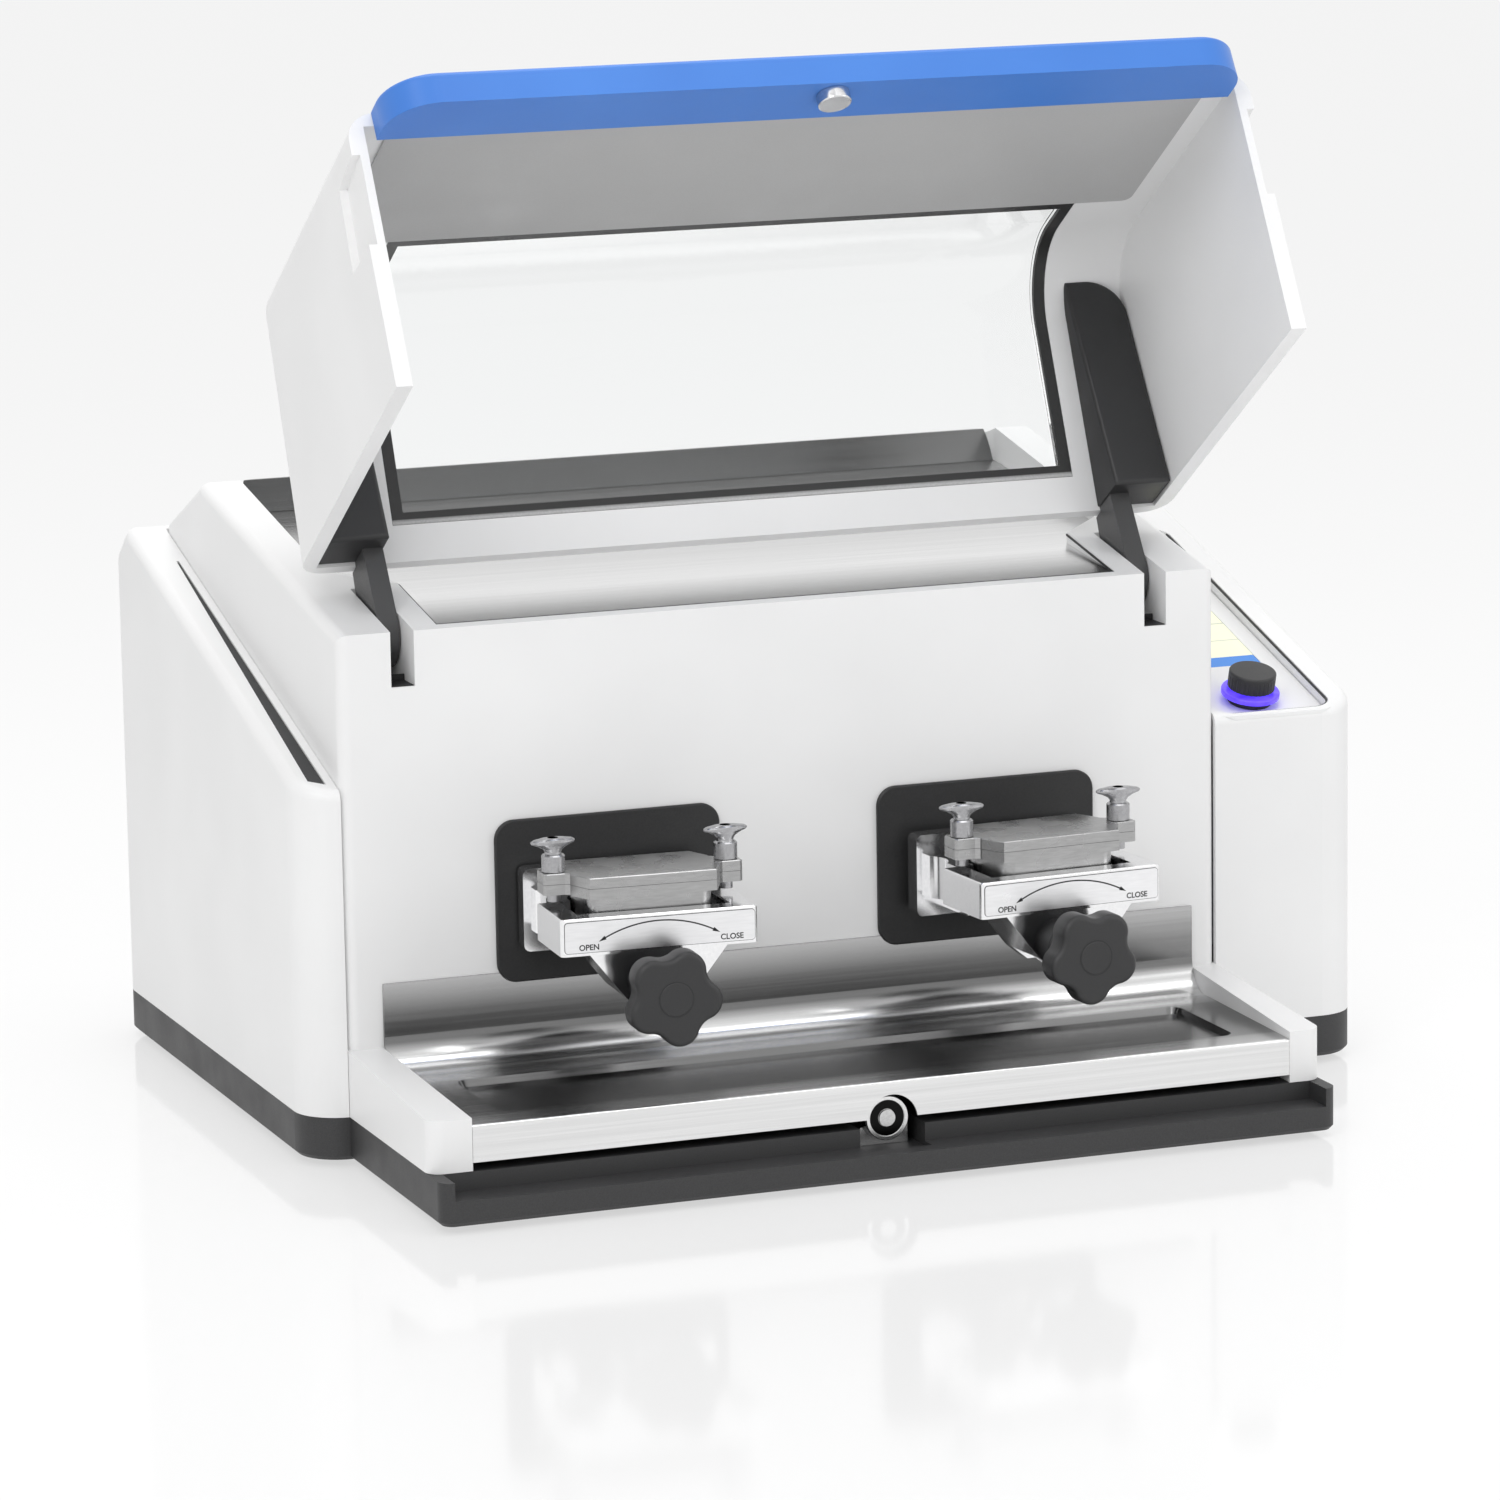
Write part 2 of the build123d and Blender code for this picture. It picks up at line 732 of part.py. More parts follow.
# ================================================================ steel tray
tray_low = tray_floor - tray_sheet
cove_outer = tray_cove + tray_sheet
with BuildPart() as chamber_tray:
    with BuildSketch(Plane.YZ.offset(body_left)):
        with BuildLine():
            under = Polyline(
                (panel_y - seat_gap, tray_back_top),
                (panel_y - seat_gap, tray_low),
                (lip_y + tray_sheet, tray_low),
                (lip_y + tray_sheet, tray_floor - lip_height),
            )
            Line((lip_y + tray_sheet, tray_floor - lip_height), (lip_y, tray_floor - lip_height))
            over = Polyline(
                (lip_y, tray_floor - lip_height),
                (lip_y, tray_floor),
                (panel_y - seat_gap - tray_sheet, tray_floor),
                (panel_y - seat_gap - tray_sheet, tray_back_top),
            )
            Line(
                (panel_y - seat_gap - tray_sheet, tray_back_top), (panel_y - seat_gap, tray_back_top)
            )
        make_face()
    extrude(amount=body_width)
    lengthwise = chamber_tray.edges().filter_by(Axis.X)
    fillet(lengthwise.sort_by_distance((0, panel_y - seat_gap - tray_sheet, tray_floor))[0], tray_cove)
    lengthwise = chamber_tray.edges().filter_by(Axis.X)
    fillet(lengthwise.sort_by_distance((0, panel_y - seat_gap, tray_low))[0], cove_outer)
    lengthwise = chamber_tray.edges().filter_by(Axis.X)
    fillet(lengthwise.sort_by_distance((0, lip_y, tray_floor))[0], 2.0)
    # pressed dish
    dish_depth = dish_rear_y - dish_front_y
    with BuildSketch(Plane.XY.offset(tray_low - dish_drop)):
        with Locations((tray_mid_x, (dish_front_y + dish_rear_y) / 2)):
            RectangleRounded(dish_width, dish_depth, 10)
    extrude(amount=dish_drop + 0.5)
    with BuildSketch(Plane.XY.offset(tray_floor)):
        with Locations((tray_mid_x, (dish_front_y + dish_rear_y) / 2)):
            RectangleRounded(dish_width - 2 * tray_sheet, dish_depth - 2 * tray_sheet, 8)
    extrude(amount=-dish_drop, taper=30, mode=Mode.SUBTRACT)
    with BuildSketch(Plane.XY):
        outline(
            [
                (tray_mid_x - tray_width_back / 2, panel_y + 1),
                (tray_mid_x + tray_width_back / 2, panel_y + 1),
                (tray_mid_x + tray_width_lip / 2, lip_y - 1),
                (tray_mid_x - tray_width_lip / 2, lip_y - 1),
            ]
        )
    extrude(amount=200, mode=Mode.INTERSECT)
    # arched notch over the catch magnet
    with BuildSketch(Plane.XZ.offset(-lip_y - 5)):
        with Locations((magnet_x, magnet_z)):
            Circle(magnet_radius + 2.5)
            Rectangle(2 * magnet_radius + 5, 40, align=(Align.CENTER, Align.MAX))
    extrude(amount=10, mode=Mode.SUBTRACT)
    # room for the cover plates of the swing arms
    with BuildSketch(Plane.XZ.offset(-panel_y - 1)):
        with Locations((chamber_mid_x, port_bottom + port_height / 2)):
            with GridLocations(port_spacing, 1, 2, 1):
                RectangleRounded(
                    port_width + 2 * run_gap, port_height + 2 * run_gap, port_corner_radius + run_gap
                )
    extrude(amount=8, mode=Mode.SUBTRACT)
keep(chamber_tray, "chamber_tray")

# ================================================================ cover plates and bellows of the ports
neck_width = 40.0
neck_bottom = 132.0
neck_top = 166.0
neck_sway = (panel_y - rocker_y) * -sin(swing)
slot_half = neck_width / 2 + neck_sway + 4.0
with BuildPart() as port_plates:
    with BuildSketch(Plane.XZ.offset(-panel_y + seat_gap)):
        with Locations((chamber_mid_x, port_bottom + port_height / 2)):
            with GridLocations(port_spacing, 1, 2, 1):
                RectangleRounded(port_width, port_height, port_corner_radius)
        with Locations((chamber_mid_x, (neck_bottom + neck_top) / 2)):
            with GridLocations(rocker_spacing, 1, 2, 1):
                RectangleRounded(2 * slot_half, neck_top - neck_bottom + 8, 8, mode=Mode.SUBTRACT)
    extrude(amount=port_plate)
    for port_face in port_plates.faces().filter_by(Axis.Y).group_by(Axis.Y)[0]:
        chamfer(port_face.outer_wire().edges(), 0.8)
keep(port_plates, "port_plates")

# ================================================================ magnetic catch
with BuildPart() as catch_magnet:
    with BuildSketch(Plane.XZ.offset(-magnet_face_y)):
        with Locations((magnet_x, magnet_z)):
            Circle(magnet_radius)
    extrude(amount=-magnet_length)
    chamfer(catch_magnet.faces().sort_by(Axis.Y)[0].outer_wire().edges(), 0.6)
    # foot in the base's pocket
    with BuildSketch(Plane.XY.offset(pocket_floor + seat_gap)):
        with Locations((magnet_x, magnet_face_y + 6)):
            Rectangle(30, magnet_length - 8, align=(Align.CENTER, Align.MIN))
    extrude(amount=magnet_z - pocket_floor - 6)
    # turned grooves between the pot, the magnet and its pole
    with BuildSketch(Plane.XZ.offset(-magnet_face_y)):
        with Locations((magnet_x, magnet_z)):
            Circle(magnet_radius - 2.4)
            Circle(pole_radius + 0.6, mode=Mode.SUBTRACT)
    extrude(amount=-0.8, mode=Mode.SUBTRACT)
    with BuildSketch(Plane.XZ.offset(-magnet_face_y)):
        with Locations((magnet_x, magnet_z)):
            Circle(pole_radius + 0.6)
            Circle(pole_radius, mode=Mode.SUBTRACT)
    extrude(amount=-1.8, mode=Mode.SUBTRACT)
keep(catch_magnet, "catch_magnet")

# ================================================================ control panel on the right cheek
plate_top = -plate_sink
with BuildPart() as control_plate:
    with BuildSketch(cheek_plane(plate_top)):
        with Locations(((plate_left_x + plate_right_x) / 2, (plate_low + plate_high) / 2)):
            RectangleRounded(plate_width, plate_high - plate_low, plate_corner_radius)
        with Locations(((display_left_x + display_right_x) / 2, (display_low + display_high) / 2)):
            Rectangle(
                display_right_x - display_left_x, display_high - display_low, mode=Mode.SUBTRACT
            )
        with Locations((dial_x, dial_along)):
            Circle(collar_radius - 3 + seat_gap, mode=Mode.SUBTRACT)
    extrude(amount=-plate_thickness + seat_gap)
keep(control_plate, "control_plate")

with BuildPart() as display:
    with BuildSketch(cheek_plane(plate_top - 0.4)):
        with Locations(((display_left_x + display_right_x) / 2, (display_low + display_high) / 2)):
            Rectangle(
                display_right_x - display_left_x - 2 * seat_gap,
                display_high - display_low - 2 * seat_gap,
            )
    extrude(amount=-3.0)
    with BuildSketch(cheek_plane(plate_top - plate_thickness)):
        with Locations(((display_left_x + display_right_x) / 2, (display_low + display_high) / 2)):
            Rectangle(
                display_right_x - display_left_x + 4, display_high - display_low + 4
            )
    extrude(amount=-4.0)
keep(display, "display")

dial_gap = 0.3
stem_radius = 4.0
stem_grip = 7.0
with BuildPart() as dial_collar:
    with BuildSketch(cheek_plane(plate_top + seat_gap)):
        with Locations((dial_x, dial_along)):
            Circle(dial_radius - 1)
    extrude(amount=ring_height - 1.8 - seat_gap)
    with BuildSketch(cheek_plane(plate_top + seat_gap)):
        with Locations((dial_x, dial_along)):
            Circle(collar_radius - 3)
    extrude(amount=-9)
    with BuildSketch(cheek_plane(plate_top + ring_height - 1.8)):
        with Locations((dial_x, dial_along)):
            Circle(collar_radius - 3)
    extrude(amount=3.6)
    with BuildSketch(cheek_plane(plate_top + 20)):
        with Locations((dial_x, dial_along)):
            Circle(stem_radius + shaft_fit)
    extrude(amount=-40, mode=Mode.SUBTRACT)
keep(dial_collar, "dial_collar")

with BuildPart() as light_ring:
    with BuildSketch(cheek_plane(plate_top + ring_height - 1.8 + seat_gap)):
        with Locations((dial_x, dial_along)):
            Circle(ring_radius)
            Circle(collar_radius - 3 + seat_gap, mode=Mode.SUBTRACT)
    extrude(amount=3.2)
    fillet(light_ring.faces().sort_by(Axis.Z)[-1].edges().sort_by(SortBy.LENGTH)[-1], 1.2)
keep(light_ring, "light_ring")

dial_base = ring_height - 1.8 + 3.2 + seat_gap + dial_push + dial_gap
with BuildPart() as control_dial:
    with BuildSketch(cheek_plane(plate_top + dial_base)):
        with Locations((dial_x, dial_along)):
            Circle(dial_radius)
    extrude(amount=dial_height - 4)
    fillet(control_dial.edges().sort_by(Axis.Z)[-1], 1.4)
    dial_axis = cheek_plane(plate_top + dial_base).location * Location((dial_x, dial_along, 0))
    with Locations(dial_axis):
        with PolarLocations(dial_radius + 0.9, 30):
            Cylinder(1.2, 8, align=(Align.CENTER, Align.CENTER, Align.MIN), mode=Mode.SUBTRACT)
    with BuildSketch(cheek_plane(plate_top + dial_base)):
        with Locations((dial_x, dial_along)):
            Circle(stem_radius + shaft_fit)
    extrude(amount=stem_grip, mode=Mode.SUBTRACT)
keep(control_dial, "control_dial")

with BuildPart() as dial_stem:
    with BuildSketch(cheek_plane(plate_top + dial_base + stem_grip - run_gap)):
        with Locations((dial_x, dial_along)):
            Circle(stem_radius)
    extrude(amount=run_gap - stem_grip - dial_base - 10)
    with BuildSketch(cheek_plane(plate_top - 9 + seat_gap - run_gap)):
        with Locations((dial_x, dial_along)):
            Circle(stem_radius + 1.5)
    extrude(amount=-1.2)
keep(dial_stem, "dial_stem")

with BuildPart() as control_board:
    with BuildSketch(cheek_plane(plate_top - 18)):
        with Locations(((plate_left_x + plate_right_x) / 2, (display_low + display_high) / 2)):
            Rectangle(66, 120)
    extrude(amount=1.6)
    with BuildSketch(cheek_plane(plate_top - 17)):
        with Locations(((display_left_x + display_right_x) / 2, (display_low + display_high) / 2)):
            with GridLocations(50, 88, 2, 2):
                Circle(3)
    extrude(amount=17 - plate_thickness - 4 - seat_gap)
    with BuildSketch(cheek_plane(plate_top - 17)):
        with Locations(((plate_left_x + plate_right_x) / 2, (display_low + display_high) / 2)):
            Rectangle(24, 24)
            with GridLocations(44, 60, 2, 2):
                Rectangle(12, 7)
    extrude(amount=3.4)
keep(control_board, "control_board")


# ================================================================ hood
hood_half = hood_width / 2


def hood_top(y, depth=0.0):
    """Height of the closed hood's top face at a depth y, or of a face that deep inside it."""
    return panel_top + (y - panel_y) * pitch - depth / cos(radians(top_pitch))


def hood_band(x, width, depth_out, depth_in, rear_y_end, low_z_end):
    """Bent sheet inside the hood's top and front, between two depths below its outer faces."""
    with BuildPart() as band:
        with BuildSketch(hood_side(x)):
            with BuildLine():
                out_y = hood_front_y + depth_out
                in_y = hood_front_y + depth_in
                outer = FilletPolyline(
                    (rear_y_end, hood_top(rear_y_end, depth_out)),
                    (out_y, hood_top(out_y, depth_out)),
                    (out_y, low_z_end),
                    radius=glass_bend_radius - depth_out,
                )
                inner = FilletPolyline(
                    (rear_y_end, hood_top(rear_y_end, depth_in)),
                    (in_y, hood_top(in_y, depth_in)),
                    (in_y, low_z_end),
                    radius=glass_bend_radius - depth_in,
                )
                Line(outer @ 0, inner @ 0)
                Line(outer @ 1, inner @ 1)
            make_face()
        extrude(amount=width)
    return band.part


window_left = body_mid_x - window_width / 2
with BuildPart() as hood_shell:
    with BuildSketch(hood_side(body_mid_x - hood_half)) as hood_profile:
        outline(
            [
                (hood_rear_y, hood_rim_rear),
                (hood_rear_y, hood_top(hood_rear_y)),
                (hood_front_y, hood_top(hood_front_y)),
                (hood_front_y, hood_rim_front),
            ]
        )
        bend = hood_profile.vertices().sort_by_distance((hood_front_y, hood_top(hood_front_y), 0))[0]
        fillet(bend, hood_bend_radius)
    extrude(amount=hood_width)
    hood_side_edges = ShapeList()
    for end in (hood_shell.faces().sort_by(Axis.X)[0], hood_shell.faces().sort_by(Axis.X)[-1]):
        hood_side_edges += end.edges().filter_by(
            lambda edge: hood_side(0).to_local_coords(edge.center()).Y > hood_rim_rear + 4
            and hood_side(0).to_local_coords(edge.center()).X < hood_rear_y - 1
        )
    fillet(hood_side_edges, hood_edge_radius)
    # room under the hood, open to the rear and below
    with BuildSketch(hood_side(body_mid_x - hood_half + hood_side_wall)) as hood_room:
        room_front = hood_front_y + hood_wall
        outline(
            [
                (hood_rear_y + 5, 0),
                (hood_rear_y + 5, hood_top(hood_rear_y + 5, hood_wall)),
                (room_front, hood_top(room_front, hood_wall)),
                (room_front, 0),
            ]
        )
        room_bend = hood_room.vertices().sort_by_distance((room_front, hood_top(room_front), 0))[0]
        fillet(room_bend, glass_bend_radius - hood_wall)
    extrude(amount=hood_width - 2 * hood_side_wall, mode=Mode.SUBTRACT)
    # window opening, round the bend from the top into the front
    with BuildSketch(hood_side(window_left)):
        outline(
            [
                (window_rear_y, hood_top(window_rear_y) + 5),
                (window_rear_y, hood_top(window_rear_y) - 15),
                (hood_front_y + 60, window_bottom_z),
                (hood_front_y - 5, window_bottom_z),
                (hood_front_y - 5, hood_top(hood_front_y) + 5),
            ]
        )
    extrude(amount=window_width, mode=Mode.SUBTRACT)
    # finger grips pressed into both sides
    for side in (-1, 1):
        with BuildSketch(hood_side(body_mid_x + side * hood_half)):
            outline([(-263, 40), (-263, 68), (-259, 97), (-208, 104), (-207, 40)])
        extrude(amount=-side * grip_depth, mode=Mode.SUBTRACT)
keep(hood_shell, "hood_shell")

# clear sheet in its black seal
seal_outer = hood_band(
    window_left + run_gap,
    window_width - 2 * run_gap,
    0.8,
    hood_wall,
    window_rear_y - run_gap,
    window_bottom_z + run_gap,
)
seal_hole = hood_band(
    window_left + gasket_width,
    window_width - 2 * gasket_width,
    0.0,
    hood_wall + 1,
    window_rear_y - gasket_width,
    window_bottom_z + gasket_width,
)
with BuildPart() as window_seal:
    add(seal_outer)
    add(seal_hole, mode=Mode.SUBTRACT)
keep(window_seal, "window_seal")

with BuildPart() as hood_window:
    add(
        hood_band(
            window_left + gasket_width + seat_gap,
            window_width - 2 * gasket_width - 2 * seat_gap,
            glass_inset,
            glass_inset + glass_thickness,
            window_rear_y - gasket_width - seat_gap,
            window_bottom_z + gasket_width + seat_gap,
        )
    )
keep(hood_window, "hood_window")

# inner panel behind the front, between the window and the grip strip
liner_thickness = 1.5
liner_half = 256.0
with BuildPart() as hood_liner:
    with BuildSketch(hood_front(hood_front_y + hood_wall + seat_gap)):
        with Locations((body_mid_x, (window_bottom_z + hood_rim_front) / 2)):
            RectangleRounded(2 * liner_half, window_bottom_z - hood_rim_front - 4, 6)
    extrude(amount=-liner_thickness)
keep(hood_liner, "hood_liner")

with BuildPart() as grip_strip:
    with BuildSketch(hood_front(strip_front_y)):
        with Locations((body_mid_x, strip_bottom)):
            RectangleRounded(
                strip_width,
                2 * strip_corner_radius + 30,
                strip_corner_radius,
                align=(Align.CENTER, Align.MIN),
            )
        with Locations((body_mid_x, hood_rim_front - seat_gap)):
            Rectangle(strip_width + 2, 80, align=(Align.CENTER, Align.MIN), mode=Mode.SUBTRACT)
    extrude(amount=-strip_depth)
    strip_rim = grip_strip.edges().filter_by(
        lambda edge: hood_front(0).to_local_coords(edge.center()).Y < hood_rim_front - 1
    )
    strip_front_edges = strip_rim.filter_by(
        lambda edge: abs(hood_front(strip_front_y).to_local_coords(edge.center()).Z) < 0.5
    )
    fillet(strip_front_edges, 3.0)
keep(grip_strip, "grip_strip")

with BuildPart() as latch_disc:
    with BuildSketch(hood_front(strip_front_y + strip_depth + seat_gap)):
        with Locations((magnet_x, magnet_z)):
            Circle(disc_radius)
    extrude(amount=-disc_thickness)
    disc_face = hood_front(strip_front_y + strip_depth + disc_thickness)
    disc_edges = latch_disc.edges().filter_by(GeomType.CIRCLE)
    fillet(disc_edges.sort_by_distance(disc_face.from_local_coords((magnet_x, magnet_z, 0)))[0], 1.0)
keep(latch_disc, "latch_disc")

# ================================================================ hinge arms with their covers and pins
for side, label in ((-1, "left"), (1, "right")):
    arm_x = body_mid_x + side * arm_offset
    with BuildPart() as hinge_arm:
        with BuildSketch(hood_side(arm_x - arm_thickness / 2)):
            outline(
                [
                    (hinge_y, hinge_z - arm_boss_radius),
                    (hinge_y, hood_top(hinge_y, arm_top)),
                    (panel_y - 0.5, hood_top(panel_y - 0.5, arm_top)),
                    (panel_y - 0.5, hood_top(panel_y - 0.5, hood_wall + run_gap)),
                    (arm_front_y, hood_top(arm_front_y, hood_wall + run_gap)),
                    (arm_front_y, cover_bottom + 8),
                    (panel_y - 6, hinge_z - arm_boss_radius),
                ]
            )
            with Locations((hinge_y, hinge_z)):
                Circle(arm_boss_radius)
            with Locations((hinge_y, hinge_z)):
                Circle(hinge_pin_radius + pin_fit, mode=Mode.SUBTRACT)
        extrude(amount=arm_thickness)
        with BuildSketch(hood_side(arm_x - arm_thickness / 2)):
            outline(
                [
                    (hinge_y - 30, hood_top(hinge_y - 30, arm_top)),
                    (hinge_y - 30, hood_top(hinge_y - 30) + 40),
                    (hinge_y + 40, hood_top(hinge_y + 40) + 40),
                    (hinge_y + 40, hood_top(hinge_y + 40, arm_top)),
                ]
            )
        extrude(amount=arm_thickness, mode=Mode.SUBTRACT)
    keep(hinge_arm, f"{label}_hinge_arm")

    # moulded cover that boxes the arm in under the hood's ceiling
    cover_outer = body_mid_x + side * (hood_half - hood_side_wall - run_gap)
    with BuildPart() as arm_cover:
        with BuildSketch(hood_side(cover_outer)):
            outline(
                [
                    (cover_rear_y, cover_bottom + 3.6),
                    (cover_rear_y, hood_top(cover_rear_y, hood_wall + seat_gap)),
                    (-226, hood_top(-226, hood_wall + seat_gap)),
                    (cover_front_y, hood_top(cover_front_y, hood_wall + 8)),
                    (-236, cover_bottom + 0.6),
                    (-190, cover_bottom - 1.6),
                    (-161, cover_bottom - 1.0),
                ]
            )
        extrude(amount=-side * cover_width)
        # channel for the arm, open to the rear and the ceiling
        with BuildSketch(hood_side(arm_x - arm_thickness / 2 - run_gap)):
            outline(
                [
                    (hood_rear_y + 10, hinge_z - arm_boss_radius - 1),
                    (hood_rear_y + 10, 340),
                    (arm_front_y - run_gap, 340),
                    (arm_front_y - run_gap, cover_bottom + 8 - run_gap),
                    (panel_y - 6, hinge_z - arm_boss_radius - 1),
                ]
            )
        extrude(amount=arm_thickness + 2 * run_gap, mode=Mode.SUBTRACT)
    keep(arm_cover, f"{label}_arm_cover")


# ================================================================ jar stations
frame_inner_half = clamp_width / 2 - clamp_side
block_v = clamp_depth + seat_gap  # the arm's block starts behind the clamp frame
plate_front_v = 93.2  # leaves the plate's corners clear of the port while it swings
plate_rear_v = plate_front_v + block_plate
neck_front_v = plate_rear_v
hub_bottom = 104.0
hub_top = 208.0
hub_v = rocker_reach
lever_bottom = 178.0
lever_height = 12.0
lever_reach = lever_length
left_rod_z = lever_bottom + lever_height + run_gap
right_rod_z = left_rod_z + rod_height + 2 * run_gap
rod_top = right_rod_z + rod_height
ring_inner = crank_radius + 2 * crank_throw + 1.2
ring_outer = ring_inner + 5.0
jar_back_v = jar_centre_v + jar_depth / 2
flange_outline_half = [
    (lid_width / 2 - 2.8, jar_centre_v - lid_depth / 2),
    (45.3, jar_centre_v - lid_depth / 2 + lid_chamfer + 3),
    (45.3, jar_centre_v - ear_width / 2 - 2),
    (48.0, jar_centre_v - ear_width / 2),
    (ear_reach - 1.6, jar_centre_v - ear_width / 2),
    (ear_reach, jar_centre_v - ear_width / 2 + 1.6),
    (ear_reach, jar_centre_v + ear_width / 2 - 1.6),
    (ear_reach - 1.6, jar_centre_v + ear_width / 2),
    (48.0, jar_centre_v + ear_width / 2),
    (45.3, jar_centre_v + ear_width / 2 + 2),
    (45.3, jar_centre_v + lid_depth / 2 - lid_chamfer - 3),
    (lid_width / 2 - 2.8, jar_centre_v + lid_depth / 2),
]


def lid_plan():
    """Plan of the jar's flange and lid: long octagon with an ear for a screw on each side."""
    left = [(-u, v) for u, v in reversed(flange_outline_half)]
    outline(flange_outline_half + left)


lobe_ring = knob_radius - knob_lobe_radius
for side, label in ((-1, "left"), (1, "right")):
    with BuildPart() as swing_arm:
        # hub on the rocker shaft
        with BuildSketch(station_plan(side, hub_bottom)):
            with Locations((0, hub_v)):
                Circle(rocker_hub_radius)
        extrude(amount=hub_top - hub_bottom)
        # neck through the port
        with BuildSketch(station_plan(side, neck_bottom)):
            with Locations((0, neck_front_v - 1)):
                Rectangle(neck_width, hub_v - neck_front_v, align=(Align.CENTER, Align.MIN))
        extrude(amount=neck_top - neck_bottom)
        # mounting plate in front of the port
        with BuildSketch(station_front(side, plate_rear_v)):
            with Locations((0, (block_bottom + block_top) / 2)):
                RectangleRounded(block_width, block_top - block_bottom, 4.0)
        extrude(amount=block_plate)
        # two horns that reach forward to the clamp frame, clear of the jar
        with BuildSketch(station_front(side, plate_front_v)):
            with Locations((0, (clamp_top + clamp_top - clamp_height - 4) / 2)):
                Rectangle(block_waist, clamp_height + 4)
            with Locations((0, block_bottom + 14)):
                Rectangle(block_waist - 26, 20)
        extrude(amount=plate_front_v - block_v)
        with BuildSketch(station_plan(side, block_bottom - 1)):
            with Locations((0, block_v - 1)):
                RectangleRounded(
                    jar_width + 4, 2 * (jar_back_v + 2 - block_v), 8, align=(Align.CENTER, Align.CENTER)
                )
        extrude(amount=80, mode=Mode.SUBTRACT)
        # scooped flanks
        for flank in (-1, 1):
            with BuildSketch(station_plan(side, block_bottom - 1)):
                with Locations((flank * (block_waist / 2 + 12), (plate_front_v + block_v) / 2 + 3)):
                    Circle(17)
            extrude(amount=80, mode=Mode.SUBTRACT)
        # lever behind the hub
        with BuildSketch(station_plan(side, lever_bottom)):
            with Locations((0, hub_v)):
                Rectangle(22, lever_reach, align=(Align.CENTER, Align.MIN))
            with Locations((0, hub_v + lever_reach)):
                Circle(lever_pin_radius + 5)
        extrude(amount=lever_height)
        with BuildSketch(station_plan(side, lever_bottom)):
            with Locations((0, hub_v + lever_reach)):
                Circle(lever_pin_radius)
        extrude(amount=rod_top + 1.0 - lever_bottom)
        # running bore
        with BuildSketch(station_plan(side, hub_bottom - 1)):
            with Locations((0, hub_v)):
                Circle(rocker_shaft_radius + shaft_fit)
        extrude(amount=hub_top - hub_bottom + 2, mode=Mode.SUBTRACT)
    keep(swing_arm, f"{label}_swing_arm")

    with BuildPart() as clamp_frame:
        with BuildSketch(station_plan(side, clamp_top - clamp_height)):
            with Locations((0, clamp_depth / 2)):
                Rectangle(clamp_width, clamp_depth)
            with Locations((0, clamp_bar)):
                Rectangle(
                    2 * frame_inner_half, clamp_depth, align=(Align.CENTER, Align.MIN), mode=Mode.SUBTRACT
                )
        extrude(amount=clamp_height)
        upright = clamp_frame.edges().filter_by(Axis.Z)
        corner_a = station_plan(side, clamp_top).from_local_coords((-clamp_width / 2, 0, 0))
        corner_b = station_plan(side, clamp_top).from_local_coords((clamp_width / 2, 0, 0))
        fillet(
            ShapeList([upright.sort_by_distance(corner_a)[0], upright.sort_by_distance(corner_b)[0]]), 3.0
        )
        chamfer(clamp_frame.faces().sort_by(Axis.Z)[-1].outer_wire().edges(), 0.8)
    keep(clamp_frame, f"{label}_clamp_frame")

    # V bracket under the frame, bored for the spindle
    bracket_top = clamp_top - clamp_height - seat_gap
    with BuildPart() as spindle_bracket:
        for wall_v in (3.0, 39.0):
            with BuildSketch(station_front(side, wall_v + lug_thickness)):
                outline(
                    [
                        (-42, bracket_top),
                        (42, bracket_top),
                        (20, spindle_z - 5),
                        (10, spindle_z - 13),
                        (-10, spindle_z - 13),
                        (-20, spindle_z - 5),
                    ]
                )
            extrude(amount=lug_thickness)
        for flank in (-1, 1):
            with BuildSketch(station_front(side, 39.0 + lug_thickness)):
                outline(
                    [
                        (flank * 42, bracket_top),
                        (flank * 37, bracket_top),
                        (flank * 16, spindle_z - 2),
                        (flank * 20, spindle_z - 5),
                    ]
                )
            extrude(amount=36.0 + lug_thickness)
        with BuildSketch(station_front(side, 60)):
            with Locations((0, spindle_z)):
                Circle(spindle_radius + shaft_fit)
        extrude(amount=70, mode=Mode.SUBTRACT)
    keep(spindle_bracket, f"{label}_spindle_bracket")

    # jaw that the spindle draws under the jar
    with BuildPart() as clamp_jaw:
        with BuildSketch(station_front(side, 31.0)):
            outline(
                [
                    (-13, jar_bottom - run_gap),
                    (13, jar_bottom - run_gap),
                    (13, spindle_z + 2),
                    (9, spindle_z - 11),
                    (-9, spindle_z - 11),
                    (-13, spindle_z + 2),
                ]
            )
        extrude(amount=17.0)
        with BuildSketch(station_front(side, 40)):
            with Locations((0, spindle_z)):
                Circle(spindle_radius + shaft_fit)
        extrude(amount=30, mode=Mode.SUBTRACT)
    keep(clamp_jaw, f"{label}_clamp_jaw")

